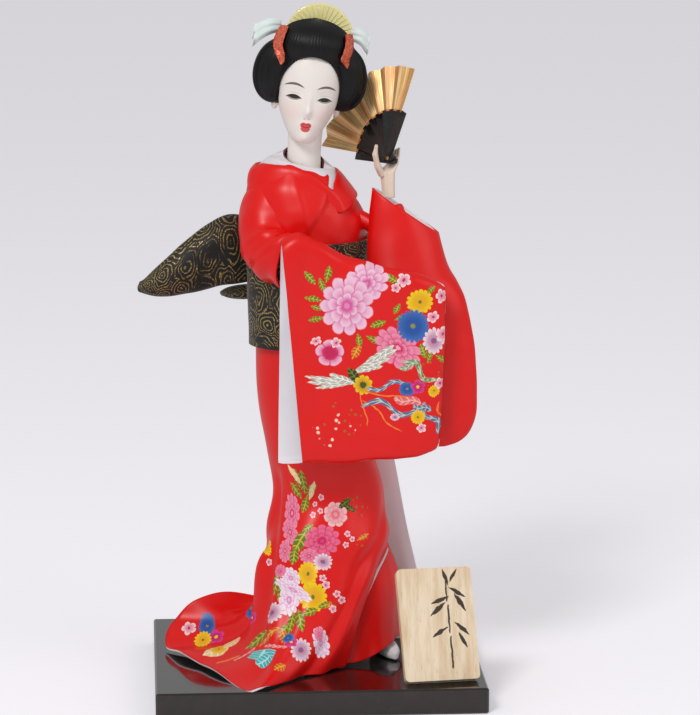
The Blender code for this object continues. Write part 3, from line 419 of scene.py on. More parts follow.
def flower_group():
    tree, given, end = new_group("printed flower", COMMON + [
        ("Petals", "F"), ("Notch", "F"), ("Turn", "F"), ("Rim", "C"), ("Heart", "C"), ("Eye", "C"), ("Eye Size", "F"),
    ])
    x, y, near = local_place(given)
    reach = sums("SQRT", plus(times(x, x), times(y, y)))
    angle = plus(sums("ARCTAN2", y, x), given["Turn"])
    wave = size_of(sine(times(angle, given["Petals"])))
    petal = power(wave, 0.6)
    edge = minus(1.0, times(given["Notch"], minus(1.0, petal)))
    share = over(reach, edge)
    inside = times(stepped(share, 0.93, 1.0, 1.0, 0.0), near)
    colour = mixed(stepped(share, 0.35, 0.95), given["Heart"], given["Rim"])
    gap = times(stepped(wave, 0.05, 0.4, 0.75, 0.0), stepped(share, 0.3, 0.6))
    colour = mixed(gap, colour, given["Heart"])
    eye_edge = plus(given["Eye Size"], 0.1)
    colour = mixed(stepped(share, given["Eye Size"], eye_edge, 1.0, 0.0), colour, given["Eye"])
    tree.links.new(mixed(inside, given["Cloth"], colour), end["Cloth"])
    return tree


def leaf_group():
    tree, given, end = new_group("printed leaf", COMMON + [
        ("Bend", "F"), ("Tip", "F"), ("Rim", "C"), ("Heart", "C"),
    ])
    x, y, near = local_place(given)
    bend = times(given["Bend"], sine(times(x, 4.2)))
    y = minus(y, bend)
    narrow = minus(1.0, power(size_of(x), given["Tip"]))
    share = over(size_of(y), sums("MAXIMUM", narrow, 0.01))
    inside = times(stepped(share, 0.86, 1.0, 1.0, 0.0), near)
    inside = times(inside, sums("GREATER_THAN", narrow, 0.0))
    veins = sine(plus(times(x, 15.0), times(share, 4.0)))
    line = sums("MAXIMUM", stepped(share, 0.08, 0.2, 1.0, 0.0), stepped(veins, 0.55, 0.95))
    colour = mixed(line, given["Heart"], given["Rim"])
    tree.links.new(mixed(inside, given["Cloth"], colour), end["Cloth"])
    return tree


def sprig_group():
    """Small scattered buds inside an oval."""
    tree, given, end = new_group("printed sprig", COMMON + [("Rim", "C"), ("Size", "F")])
    x, y, near = local_place(given)
    cells = linked("ShaderNodeTexVoronoi", {"Vector": given["Place"], "Scale": given["Size"]})
    dot = stepped(cells.outputs["Distance"], 0.2, 0.32, 1.0, 0.0)
    split = linked("ShaderNodeSeparateColor", {0: cells.outputs["Color"]})
    some = sums("GREATER_THAN", split.outputs[0], 0.45)
    oval = plus(times(x, x), times(y, y))
    inside = times(sums("LESS_THAN", oval, 1.0), near)
    share = times(times(dot, some), inside)
    tree.links.new(mixed(share, given["Cloth"], given["Rim"]), end["Cloth"])
    return tree


GROUPS = {"flower": flower_group(), "leaf": leaf_group(), "sprig": sprig_group()}

# %% [markdown]
# A motif is made of one or more layers. A peony is three rings of petals laid one over another,
# pale at the rim and deep pink in the folds. The numbers of a flower's layer are its size, how far
# it is turned, its petals, the depth of the notches between them, and its eye's size.

# %% Motifs
WHITE = rgb(250, 240, 240)
PALE_PINK = rgb(250, 190, 215)
DEEP_PINK = rgb(215, 60, 125)
YELLOW = rgb(250, 205, 20)
OLIVE = rgb(110, 125, 25)


def flower(size, turn, petals, notch, eye_size, rim, heart, eye):
    values = {"Petals": petals / 2, "Notch": notch, "Turn": turn, "Rim": rim, "Heart": heart, "Eye": eye,
              "Eye Size": eye_size}
    return "flower", size, values


def leaf(rim, heart, tip=2.0):
    return "leaf", 1.0, {"Tip": tip, "Rim": rim, "Heart": heart}


def peony(rim, heart, eye):
    return [
        flower(1.0, 0.0, 11, 0.22, 0.2, rim, heart, eye),
        flower(0.7, 0.5, 8, 0.24, 0.2, rim, heart, heart),
        flower(0.42, 1.1, 6, 0.3, 0.22, rim, heart, eye),
    ]


MOTIFS = {
    "peony": peony(rgb(252, 205, 226), rgb(222, 88, 160), rgb(240, 140, 190)),
    "pink_peony": peony(rgb(250, 150, 180), rgb(220, 45, 105), rgb(250, 175, 190)),
    "magenta_peony": peony(rgb(245, 110, 150), rgb(210, 30, 90), rgb(230, 60, 130)),
    "white_peony": peony(rgb(255, 238, 248), rgb(225, 140, 195), rgb(250, 200, 225)),
    "rosette": [
        flower(1.0, 0.0, 8, 0.16, 0.2, rgb(250, 205, 205), rgb(235, 120, 130), WHITE),
        flower(0.6, 0.4, 8, 0.1, 0.24, rgb(250, 185, 190), rgb(235, 110, 125), rgb(245, 160, 165)),
    ],
    "bud": [
        flower(1.0, 0.3, 5, 0.2, 0.2, PALE_PINK, DEEP_PINK, DEEP_PINK),
        flower(0.55, 0.0, 3, 0.05, 0.6, rgb(225, 40, 100), rgb(200, 20, 80), rgb(205, 25, 85)),
    ],
    "blossom": [flower(1.0, 0.0, 5, 0.4, 0.16, rgb(255, 228, 228), rgb(245, 150, 175), rgb(170, 40, 80))],
    "magenta_blossom": [flower(1.0, 0.2, 5, 0.35, 0.18, rgb(230, 60, 150), rgb(200, 20, 110), YELLOW)],
    "yellow_daisy": [flower(1.0, 0.0, 15, 0.24, 0.1, rgb(252, 215, 10), rgb(245, 180, 10), OLIVE)],
    "blue_daisy": [flower(1.0, 0.0, 19, 0.22, 0.1, rgb(60, 115, 190), rgb(35, 85, 165), rgb(150, 150, 60))],
    "pale_daisy": [flower(1.0, 0.0, 14, 0.3, 0.2, rgb(248, 225, 232), rgb(205, 150, 180), rgb(150, 90, 130))],
    "yellow_body": [flower(1.0, 0.0, 9, 0.3, 0.3, rgb(250, 205, 20), rgb(215, 160, 15), rgb(70, 90, 20))],
    "leaf": [leaf(rgb(205, 195, 60), OLIVE)],
    "dark_leaf": [leaf(rgb(120, 140, 40), rgb(50, 60, 20))],
    "orange_leaf": [leaf(rgb(245, 190, 60), rgb(220, 90, 20))],
    "cream_leaf": [leaf(rgb(255, 245, 200), rgb(250, 215, 150))],
    "feather": [leaf(rgb(255, 250, 245), rgb(190, 190, 170), 4.0)],
    "grey_ribbon": [leaf(rgb(205, 212, 205), rgb(95, 115, 150), 10.0)],
    "green_ribbon": [leaf(rgb(225, 230, 185), rgb(120, 160, 120), 10.0)],
    "turquoise_ribbon": [leaf(rgb(190, 240, 235), rgb(70, 185, 190), 10.0)],
    "pink_ribbon": [leaf(rgb(255, 190, 180), rgb(240, 110, 110), 10.0)],
    "orange_ribbon": [leaf(rgb(255, 150, 60), rgb(245, 110, 40), 10.0)],
    "sprig": [("sprig", 1.0, {"Rim": rgb(255, 215, 190), "Size": 330.0})],
    "olive_sprig": [("sprig", 1.0, {"Rim": rgb(165, 110, 30), "Size": 420.0})],
}
PICTURE = (700.0, 715.0)
FOCAL = camera_data.lens / camera_data.sensor_width * PICTURE[1]


def sight(px, py):
    """The direction from the camera through a point of the picture, in pixels."""
    way = Vector(((px - PICTURE[0] / 2) / FOCAL, (PICTURE[1] / 2 - py) / FOCAL, -1.0))
    return (camera.rotation_euler.to_matrix() @ way).normalized()


def layout(text):
    """Reads a list of motifs. Each line names a motif, and gives for every place in the picture its x
    and y, its half width and height, its turn in degrees and, for some leaves, their bend."""
    lines = [line.split(" ", 1) for line in text.strip().splitlines()]
    return [(kind, *map(float, place.split())) for kind, places in lines for place in places.split(",")]


def prints_seen(item, motifs):
    """Finds where each motif lies on the piece: its middle, and its directions over its half sizes."""
    right, up = (camera.rotation_euler.to_matrix() @ Vector(way) for way in ((1, 0, 0), (0, 1, 0)))
    found = []
    for kind, px, py, half_wide, half_high, turn, *bend in motifs:
        hit, spot, normal, _ = item.ray_cast(camera.location, sight(px, py))
        if not hit:
            print("no cloth under", kind, px, py)
            continue
        scale = (spot - camera.location).length / FOCAL
        across = (right - normal * right.dot(normal)).normalized()
        along = normal.cross(across)
        if along.dot(up) < 0:
            along.negate()
        tall = 1.0 / max(0.55, abs(along.dot(up)))
        wide = 1.0 / max(0.55, abs(across.dot(right)))
        a = radians(turn)
        first = (across * cos(a) + along * sin(a)) / (half_wide * scale * wide)
        second = (along * cos(a) - across * sin(a)) / (half_high * scale * tall)
        limit = 0.8 * max(half_wide, half_high) * scale
        found.append((kind, spot, first, second, normal / limit, bend[0] if bend else 0.0))
    return found


def printed(finish, colour, found):
    """Lays every motif over the cloth's colour, one after another."""
    place = object_place(finish)
    uneven = noisy(place, 420.0, 2.0).outputs["Color"]
    shift = linked("ShaderNodeVectorMath", {0: uneven, 1: (0.5, 0.5, 0.5)}, operation="SUBTRACT")
    small = linked("ShaderNodeVectorMath", {0: shift.outputs[0], "Scale": 0.0012}, operation="SCALE")
    place = linked("ShaderNodeVectorMath", {0: place, 1: small.outputs[0]}).outputs[0]
    for kind, spot, across, up, out, bend in found:
        for shape, size, values in MOTIFS[kind]:
            inputs = {"Cloth": colour, "Place": place, "Middle": spot, "Across": across / size, "Up": up / size,
                      "Out": out, **values}
            if shape == "leaf":
                inputs["Bend"] = bend
            colour = linked("ShaderNodeGroup", inputs, node_tree=GROUPS[shape]).outputs["Cloth"]
    return colour


# %% [markdown]
# ## Finishes
#
# Satin is bright red with wide soft highlights that turn pink, and its threads are too fine to see
# one by one. A low sheen and a fine stretched noise give it that surface. Each printed piece gets
# its own copy with its own motifs.

# %% Satin and plain cloth
def weave(finish, across=2600.0, along=900.0, strength=0.12, distance=0.0001):
    fine = noisy(scaled(uv_place(finish), (across * MM, along * MM, 1.0)), 1.0, 2.0)
    creases = noisy(object_place(finish), 110.0, 3.0)
    height = plus(fine.outputs[0], times(creases.outputs[0], 2.5))
    bumped(finish, height, strength, distance)


def satin(name, found=()):
    finish = new_finish(name, rgb(232, 10, 8), 0.35, Sheen_Weight=0.08, Sheen_Roughness=0.35, Specular_IOR_Level=0.4)
    shader_of(finish).inputs["Sheen Tint"].default_value = rgb(255, 150, 140)
    uneven = noisy(object_place(finish), 25.0, 2.0)
    colour = mixed(uneven.outputs[0], rgb(226, 6, 6), rgb(240, 16, 10))
    if found:
        colour = printed(finish, colour, found)
    link_in(finish, colour, "Base Color")
    weave(finish)
    return finish


def plain_cloth(name, colour, darker):
    finish = new_finish(name, colour, 0.6, Sheen_Weight=0.15)
    uneven = noisy(object_place(finish), 60.0, 3.0)
    link_in(finish, mixed(uneven.outputs[0], darker, colour), "Base Color")
    weave(finish, 1800.0, 1800.0)
    return finish


RED = satin("red satin")
# A material can hold only so many motifs before the renderer's stack is full, and a patch of fewer
# faces than this isn't parted again
MOST_PRINTS = 34
SMALLEST_PATCH = 200


def lay_prints(item, name, found):
    """Parts the outer cloth into patches, each with a satin that holds only its own few motifs."""
    def patches(faces, motifs):
        low = [min(f.center[k] for f in faces) for k in range(3)]
        high = [max(f.center[k] for f in faces) for k in range(3)]
        near = []
        weight = 0
        for motif in motifs:
            reach = 1.2 / min(motif[2].length, motif[3].length)
            if all(low[k] - reach < motif[1][k] < high[k] + reach for k in range(3)):
                near.append(motif)
                weight += sum(1 if shape == "leaf" else 2 for shape, _, _ in MOTIFS[motif[0]])
        if weight <= MOST_PRINTS or len(faces) < SMALLEST_PATCH:
            return [(faces, near)]
        axis = 0 if high[0] - low[0] > high[2] - low[2] else 2
        faces = sorted(faces, key=lambda f: f.center[axis])
        half = len(faces) // 2
        return patches(faces[:half], near) + patches(faces[half:], near)

    outer = [f for f in item.data.polygons if f.material_index == 0]
    made = patches(outer, found)
    for k, (faces, near) in enumerate(made):
        item.data.materials.append(satin(f"{name} {k + 1}", near))
        for face in faces:
            face.material_index = len(item.data.materials) - 1
    print(name, "patches and motifs:", [len(near) for _, near in made])


LINING = plain_cloth("white lining", rgb(246, 243, 246), rgb(232, 228, 234))
PADDING = plain_cloth("cotton padding", rgb(232, 226, 214), rgb(214, 206, 192))

# %% [markdown]
# The sash is a black brocade, woven with gold rings and swirls like ripples on water. Rings round
# the points of a Voronoi pattern look like that, once the place is bent a little by noise. The gold
# thread is broken up, shines more than the black ground, and stands a little proud of it.

# %% Brocade
def brocade(name, cell=10.5):
    finish = new_finish(name, rgb(22, 18, 14), 0.55, Sheen_Weight=0.1)
    place = scaled(uv_place(finish), (1 / cell, 1 / cell, 1.0))
    bend = noisy(place, 1.6, 1.0).outputs["Color"]
    place = linked("ShaderNodeVectorMath", {0: place, 1: (-0.25, -0.25, 0.0)}).outputs[0]
    bent = linked("ShaderNodeVectorMath", {0: bend, "Scale": 0.5}, operation="SCALE").outputs[0]
    place = linked("ShaderNodeVectorMath", {0: place, 1: bent}).outputs[0]
    cells = linked("ShaderNodeTexVoronoi", {"Vector": place, "Scale": 1.0, "Randomness": 0.55},
                 voronoi_dimensions="2D")
    rings = sine(times(cells.outputs["Distance"], 42.0))
    threads = noisy(scaled(uv_place(finish), (3.2, 1.1, 1.0)), 1.0, 2.0).outputs[0]
    lines = times(stepped(rings, 0.45, 0.8), stepped(threads, 0.4, 0.54))
    some = noisy(place, 1.1, 2.0, 0.7).outputs[0]
    gold = times(lines, stepped(some, 0.36, 0.5))
    colour = mixed(threads, rgb(134, 112, 56), rgb(218, 190, 114))
    link_in(finish, mixed(gold, rgb(14, 11, 9), colour), "Base Color")
    link_in(finish, times(gold, 0.55), "Metallic")
    link_in(finish, stepped(gold, 0.0, 1.0, 0.6, 0.38), "Roughness")
    bumped(finish, plus(gold, threads), 0.35, 0.00025)
    return finish


BROCADE = brocade("black and gold brocade")

# %% [markdown]
# Hair is combed fibre, drawn from the hairline up and back. Thin lines that run along the map's
# second direction, a slight grey variation and a soft sheen make it look like strands, not rubber.

# %% Hair, porcelain, wood, lacquer and metal
def hair_finish():
    finish = new_finish("black hair", rgb(12, 12, 14), 0.4, Specular_IOR_Level=0.3)
    place = uv_place(finish)
    thick = noisy(scaled(place, (3.4, 0.05, 1.0)), 1.0, 3.0, 0.65).outputs[0]
    fine = noisy(scaled(place, (9.5, 0.12, 1.0)), 1.0, 2.0, 0.6).outputs[0]
    strands = plus(thick, times(fine, 0.6))
    link_in(finish, mixed(stepped(strands, 0.6, 1.1), rgb(4, 4, 5), rgb(17, 16, 20)), "Base Color")
    link_in(finish, stepped(strands, 0.5, 1.1, 0.34, 0.5), "Roughness")
    bumped(finish, strands, 0.35, 0.00025)
    return finish


HAIR = hair_finish()


def lacquer_finish():
    finish = new_finish("black lacquer", rgb(22, 15, 13), 0.08, Coat_Weight=0.6, Coat_Roughness=0.04)
    place = object_place(finish)
    dust = noisy(place, 260.0, 4.0, 0.7).outputs[0]
    link_in(finish, mixed(stepped(dust, 0.45, 0.75), rgb(24, 15, 12), rgb(42, 31, 26)), "Base Color")
    link_in(finish, stepped(noisy(place, 14.0, 3.0).outputs[0], 0.3, 0.8, 0.07, 0.16), "Roughness")
    bumped(finish, noisy(place, 30.0, 2.0).outputs[0], 0.05, 0.0004)
    return finish


LACQUER = lacquer_finish()


def wood_finish():
    """Pale soft wood: long grain lines up the board, a few darker streaks, and fine pores."""
    finish = new_finish("pale wood", rgb(226, 196, 156), 0.6)
    place = object_place(finish)
    bands = noisy(scaled(place, (260.0, 60.0, 14.0)), 1.0, 4.0, 0.6).outputs[0]
    pores = noisy(scaled(place, (1500.0, 400.0, 90.0)), 1.0, 2.0).outputs[0]
    colour = mixed(stepped(bands, 0.35, 0.68), rgb(247, 228, 199), rgb(226, 198, 160))
    colour = mixed(stepped(pores, 0.6, 0.75, 0.0, 0.5), colour, rgb(204, 172, 132))
    link_in(finish, colour, "Base Color")
    bumped(finish, plus(bands, pores), 0.25, 0.0002)
    return finish


WOOD = wood_finish()


def skin_finish(name, colour):
    finish = new_finish(name, colour, 0.42, Coat_Weight=0.1, Coat_Roughness=0.25, Subsurface_Weight=0.06)
    shader_of(finish).inputs["Subsurface Radius"].default_value = (0.004, 0.002, 0.001)
    shader_of(finish).inputs["Subsurface Scale"].default_value = 0.4
    bumped(finish, noisy(object_place(finish), 900.0, 2.0).outputs[0], 0.03, 0.0001)
    return finish


def fan_finish():
    """Gold foil on pleated paper: streaks along the spokes, in gold, pale gold and copper."""
    finish = new_finish("gold foil", rgb(222, 176, 96), 0.36, Metallic=0.4)
    place = uv_place(finish)
    streaks = noisy(scaled(place, (2.4, 0.03, 1.0)), 1.0, 3.0, 0.6).outputs[0]
    broad = noisy(scaled(place, (0.35, 0.04, 1.0)), 1.0, 2.0).outputs[0]
    colour = mixed(stepped(streaks, 0.4, 0.62), rgb(216, 160, 84), rgb(255, 236, 184))
    colour = mixed(stepped(broad, 0.42, 0.62, 0.0, 0.55), colour, rgb(222, 138, 74))
    up = linked("ShaderNodeSeparateXYZ", {0: place}).outputs[1]
    colour = mixed(stepped(up, 0.7, 1.0, 1.0, 0.0), colour, rgb(206, 120, 62))
    link_in(finish, colour, "Base Color")
    link_in(finish, stepped(streaks, 0.3, 0.7, 0.42, 0.26), "Roughness")
    bumped(finish, streaks, 0.2, 0.0002)
    return finish


def worn_finish(name, colour, roughness, scale, **sockets):
    """A hard surface with a slightly uneven polish and fine dust."""
    finish = new_finish(name, colour, roughness, **sockets)
    uneven = noisy(object_place(finish), scale, 3.0, 0.6).outputs[0]
    darker = (*[0.7 * c for c in colour[:3]], 1.0)
    link_in(finish, mixed(uneven, darker, colour), "Base Color")
    link_in(finish, stepped(uneven, 0.3, 0.7, 0.7 * roughness, 1.4 * roughness), "Roughness")
    bumped(finish, uneven, 0.12, 0.0001)
    return finish


GOLD_LEAF = fan_finish()
GLOSS_BLACK = worn_finish("black plastic", rgb(18, 15, 14), 0.2, 500.0, Coat_Weight=0.4)
BRASS = worn_finish("brass", rgb(215, 185, 115), 0.25, 900.0, Metallic=1.0)
STEEL = worn_finish("steel wire", rgb(150, 150, 152), 0.35, 700.0, Metallic=1.0)

# %% [markdown]
# ## The skirt
#
# The outer skirt wraps from a free edge in front, round the doll's right side to the back, and
# falls open into a train that lies on the base. Its shape hangs through rows of points, the same
# rows that the solid model has. The finer folds run from the hips down into the train, so they are
# moves along the cloth's own direction, deeper towards the hem.

# %% Outer skirt
SKIRT_OVALS = (
    (161.0, -2.0, 5.0, 24.4, 19.2),
    (146.0, -1.2, 5.0, 25.4, 19.8),
    (120.0, -0.3, 5.0, 25.4, 20.0),
    (96.0, 2.5, 5.0, 24.0, 20.6),
    (77.0, 6.5, 5.0, 25.0, 21.2),
)
SKIRT_FROM = radians(35.0)
SKIRT_SWEEP = radians(-335.0)
SKIRT_FALLS = (
    (
        (34, -1, 60), (31.5, -8, 60), (26, -15, 60), (17, -20, 60), (7, -22.5, 60), (-4, -22, 60),
        (-13, -18, 60), (-20, -10, 60), (-21.8, 0, 60), (-20.5, 11, 60), (-13, 21, 60), (0, 26.5, 60),
        (12, 27.5, 60), (23, 25.5, 60),
    ),
    (
        (29, -12, 47), (25, -17, 47), (17, -21.5, 47), (8, -24.5, 47), (-2, -25, 47), (-11, -23, 47),
        (-19, -18, 47), (-28, -8, 46), (-21.5, 1, 46), (-22.5, 11, 46), (-16, 21, 46), (-3, 27.5, 46),
        (11, 29.5, 46), (24, 27.5, 46),
    ),
    (
        (21.5, -22, 30), (17, -25.5, 30), (10, -29, 29), (1, -31, 29), (-8, -31, 29), (-16, -28.5, 28),
        (-22.5, -21, 27), (-30, -8, 26), (-25, 2.5, 27), (-24.5, 12, 28), (-20, 20, 29), (-8, 28, 30),
        (11, 31, 30), (27, 28.5, 30),
    ),
    (
        (15.5, -26, 13), (9, -32, 11.5), (0, -37, 10), (-9, -42, 9.5), (-18, -44, 9), (-25, -41.5, 9),
        (-31, -27, 8), (-36, -11, 8), (-38, 2, 9), (-39, 11, 11), (-36, 18, 15), (-20, 25, 17),
        (8, 32.5, 14), (29, 30.5, 14),
    ),
    (
        (12, -27, 0.8), (4, -32.5, 0.8), (-6, -40, 0.8), (-16, -49, 0.8), (-25, -57.5, 0.8),
        (-34, -60.5, 0.8), (-49, -31, 1.4), (-62, -9, 2.6), (-70, 8, 3.6), (-66, 18.5, 10),
        (-55, 21.5, 20.5), (-33, 25, 22.5), (4, 34, 3.6), (29, 32.5, 1.4),
    ),
)
CLOTH = 0.9


def hung_grid(rows, columns, count, move):
    """A smooth sheet through rows of hanging points, with each point moved out."""
    sheet = net(count, columns, lambda u, v: above(*through([through(row, u) for row in rows], v)))
    return moved_out(sheet, move, False)


last = len(SKIRT_FALLS[0]) - 1
turns = [SKIRT_FROM + SKIRT_SWEEP * k / last for k in range(last + 1)]
skirt_rows = [[(x + half_width * cos(a), y + half_depth * sin(a), height) for a in turns]
              for height, x, y, half_width, half_depth in SKIRT_OVALS]
skirt_rows += SKIRT_FALLS
# One long pleat comes down from under the sleeve: how far across it lies, from its top to the base
PLEAT = ((-15.8,), (-17.0,), (-19.8,), (-22.4,), (-25.0,))
PLEAT_TOP = 94.0
PLEAT_DEPTH = 1.9


def skirt_fold(u, v, point):
    """Long soft folds that start at the hip and swing towards the train, and small creases."""
    low = smooth(v, 0.25, 0.95)
    swing = u + 0.09 * sin(3.0 * v)
    fold = 0.7 * sin(tau * 5.0 * swing + 1.1) + 0.45 * sin(tau * 9.0 * swing + 4.0 * v)
    edge = min(1.0, 8.0 * u, 8.0 * (1.0 - u))
    height = point.z - BASE_HEIGHT
    off = point.x - through(PLEAT, (PLEAT_TOP - height) / PLEAT_TOP)[0]
    pleat = smooth(0.8 - off, 0.0, 1.2) * smooth(off, -11.0, -1.0) * smooth(point.y, 4.0, -4.0)
    pleat *= smooth(PLEAT_TOP - height, 0.0, 14.0) * smooth(height, 2.0, 12.0)
    crease = 0.6 * waves(point, 13.0, 2.0) * (0.4 + low)
    return -(fold * low * 1.25 * edge + crease) - PLEAT_DEPTH * pleat


skirt = dressed("outer_skirt", hung_grid(skirt_rows, 92, 48, skirt_fold), CLOTH, RED, LINING, rim=1,
                solid="kimono_skirt", slot="red_satin", held="hung", rests_on=["sash", "base_board"])

# %% [markdown]
# To the right of the free edge the red under skirt shows, and behind it a strip of the white robe.
# Both hang straight, with a few upright folds.

# %% Under skirt and white robe
UNDER_SKIRT = (
    ((-2, -11, 80), (9, -12, 80), (18, -9, 80), (23.5, -2, 80), (25, 7, 80), (21.5, 14.5, 80)),
    ((-2, -12.5, 60), (10, -13.5, 60), (20, -10.5, 60), (27, -3, 59), (31, 6, 58), (28, 15, 58)),
    ((-3, -18, 36), (10, -19.5, 36), (24, -16, 36), (34, -7, 36), (39.3, 4, 35), (37, 15, 35)),
    ((-3, -21, 14), (9, -22.5, 14), (23, -19, 15), (34.5, -11, 16), (39.2, 3, 15), (38, 15.5, 14)),
    (
        (-3, -23, 1.0), (9, -24.2, 1.0), (22, -21.5, 2.5), (33.5, -15, 7.8), (40, 2, 8.6),
        (39.5, 15.5, 8.0),
    ),
)
WHITE_ROBE = (
    ((-6, 18.6, 128), (7, 19.2, 128), (17, 18.8, 128), (29, 19.5, 128)),
    ((-6, 18.8, 88), (8, 20, 88), (22, 20.5, 88), (38, 19.5, 88)),
    ((-6, 19.5, 56), (9, 21.5, 56), (25, 22, 56), (44, 20, 56)),
    ((-6, 21, 24), (10, 24, 24), (28, 24.5, 24), (51, 20.5, 24)),
    ((-6, 22, 0.9), (10, 25.5, 0.9), (29, 26, 0.9), (54, 21, 0.9)),
)


def upright_fold(u, v, point):
    fold = sin(tau * 3.2 * u + 0.6 * sin(3 * v)) * 0.5 + 0.25 * sin(tau * 7.0 * u + 2.0)
    return fold * smooth(v, 0.0, 0.9) * 0.7 + 0.2 * waves(point, 10.0, 5.0)


under = dressed("red_under_skirt", hung_grid(UNDER_SKIRT, 40, 30, upright_fold), CLOTH, RED, LINING,
                solid="under_skirt", slot="red_satin", held="hung", rests_on=["sash"])
dressed("white_robe", hung_grid(WHITE_ROBE, 36, 40, upright_fold), CLOTH, LINING,
        solid="white_under_robe", slot="white_cloth", held="hung", rests_on=["sash"])

# %% [markdown]
# Along the skirt's free edge its white lining turns out a little. This narrow panel lies between the
# outer skirt and the red one, and its edges are given by where they're seen in the picture.

# %% Turned lining
# Down the picture, and the panel's right edge across it, in pixels
TURNED = ((514, 384.0), (522, 386.0), (536, 391.0), (552, 387.5), (572, 378.0), (590, 370.0), (604, 364.0))
TURNED_WIDTH = 30.0
TURNED_PROUD = 0.0012
turned_rows = []
for k in range(25):
    py, px = through(TURNED, k / 24)
    hit, spot, _, _ = under.ray_cast(camera.location, sight(px, py))
    if not hit:
        print("no under skirt at", px, py)
        continue
    away = (spot - camera.location).length - TURNED_PROUD
    line = []
    for i in range(13):
        share = i / 12
        way = sight(px - TURNED_WIDTH * (1 - share), py)
        line.append((camera.location + way * (away + 0.0006 * (1 - share) + 0.0004 * sin(9 * share))) / MM)
    turned_rows.append(line)
dressed("turned_lining", turned_rows, 0.6, LINING, slot="white_cloth", held="hung", rests_on=["outer_skirt"])

# %% [markdown]
# ## Bodice, collars and sash
#
# The upper body is a form of stacked ovals. Cloth follows it with small wrinkles. The right front
# lies over the left in a slanting edge below the collar, which is a real step in the cloth.

# %% Forms of stacked ovals
BODICE = (
    (164.0, -2.0, 5.0, 24.4, 19.2, 0.0),
    (182.0, -2.5, 5.0, 24.6, 19.4, 0.0),
    (198.0, -3.5, 4.0, 26.6, 20.4, 0.05),
    (209.0, -4.0, 4.0, 27.2, 20.0, 0.16),
    (218.0, -4.8, 4.6, 23.8, 17.6, 0.22),
    (225.0, -5.2, 5.4, 17.6, 14.6, 0.22),
    (228.0, -5.4, 5.8, 13.6, 12.2, 0.2),
)
SASH = (
    (146.5, -1.6, 5.0, 27.9, 22.4, 0.0),
    (160.0, -2.2, 5.0, 27.6, 22.2, 0.0),
    (182.0, -2.6, 4.8, 27.8, 22.6, 0.0),
    (195.5, -3.0, 4.6, 28.8, 23.2, 0.0),
)
GAP = 0.3


def oval_point(levels, angle, t):
    height, x, y, half_width, half_depth, slope = through(levels, t)
    across = half_width * cos(angle)
    return above(x + across, y + half_depth * sin(angle), height - slope * across)


def oval_out(levels, angle, t, out):
    small = 0.01
    across = oval_point(levels, angle + small, t) - oval_point(levels, angle - small, t)
    up = oval_point(levels, angle, min(t + small, 1)) - oval_point(levels, angle, max(t - small, 0))
    return oval_point(levels, angle, t) + across.cross(up).normalized() * out


def inside_ovals(levels, point, out):
    """Whether a point is inside a form of stacked ovals that is larger all round by out."""
    for k in range(25):
        height, x, y, half_width, half_depth, slope = through(levels, k / 24)
        past = point.z - BASE_HEIGHT - (height - slope * (point.x - x))
        if k == 0 and past < -out:
            return False
        if past <= 0:
            break
    inside = ((point.x - x) / (half_width + out)) ** 2 + ((point.y - y) / (half_depth + out)) ** 2 < 1
    return inside and past <= out


# %% [markdown]
# The overlap's edge is a line from the crossing of the collars down to the sash. On one side of it
# the cloth stands one thickness higher.

# %% Bodice
EDGE_TOP = (radians(-58.0), 0.75)
EDGE_LOW = (radians(-85.0), 0.43)


def angle_between(a, b):
    return (a - b + pi) % tau - pi


def bodice_move(u, v, point):
    turn = angle_between(tau * u, EDGE_TOP[0])
    along = (EDGE_TOP[1] - v) / (EDGE_TOP[1] - EDGE_LOW[1])
    line = along * (EDGE_LOW[0] - EDGE_TOP[0])
    front = smooth(line - turn, -0.02, 0.05) * smooth(turn, -1.5, -0.9) * smooth(v, 0.1, 0.3)
    chest = 2.0 * bell(turn, -0.5, 0.5) * bell(v, 0.55, 0.2)
    crease = 0.6 * waves(point, 8.0, 9.0) + 0.6 * bell(turn + 0.55 * v, -0.35, 0.06) * bell(v, 0.5, 0.25)
    return 1.4 * front + crease + 0.15 * chest


bodice_grid = moved_out(tube(44, 120, partial(oval_point, BODICE)), bodice_move, True)
dressed("red_bodice", bodice_grid, CLOTH, RED, LINING, ring=True,
        solid="kimono_bodice", slot="red_satin", held="folded", rests_on=["body_form"])

# %% [markdown]
# The collars are bands that stand round the neck and cross in front. The inner one is white with a
# thin line of maroon, and the red one lies on the bodice.

# %% Collars
NECK_FOOT = (-5.2, 5.6, 221.5)
NECK_TOP = (-3.4, 5.8, 251.5)
STEP = GAP + CLOTH
MAROON = 0.75
NECK_RING = 8.7
# Turn round the neck in degrees, and how far up the bodice the edge lies, from 0 to 1
RED_EDGE = (
    (-180, 0.76), (-169, 0.77), (-160, 0.82), (-136, 0.86), (-106, 0.925), (-81, 0.86), (-73, 0.815),
    (-66, 0.765), (-61, 0.735), (-58, 0.715), (-54, 0.755), (-50, 0.79), (-34, 0.88), (-9, 0.97),
    (30, 0.93), (90, 0.86), (140, 0.8), (180, 0.76),
)
RED_HEM = (
    (-180, 0.54), (-130, 0.6), (-90, 0.64), (-70, 0.6), (-62, 0.56), (-57, 0.54), (-50, 0.56),
    (-23, 0.67), (6, 0.72), (40, 0.68), (90, 0.6), (140, 0.56), (180, 0.54),
)
# Turn, and the height at which the white collar's inner edge meets the neck
NECK_EDGE = (
    (-180, 233), (-124, 229.8), (-94, 228.8), (-64, 226.9), (-36, 224.5), (-18, 223.7), (-10, 226.0),
    (-4, 229.0), (30, 232), (90, 236), (140, 236), (180, 234),
)


def by_turn(rows, angle):
    turn = (angle * 180 / pi + 180) % 360 - 180
    for (a, low), (b, high) in zip(rows, rows[1:]):
        if a <= turn <= b:
            return low + (high - low) * (turn - a) / (b - a)


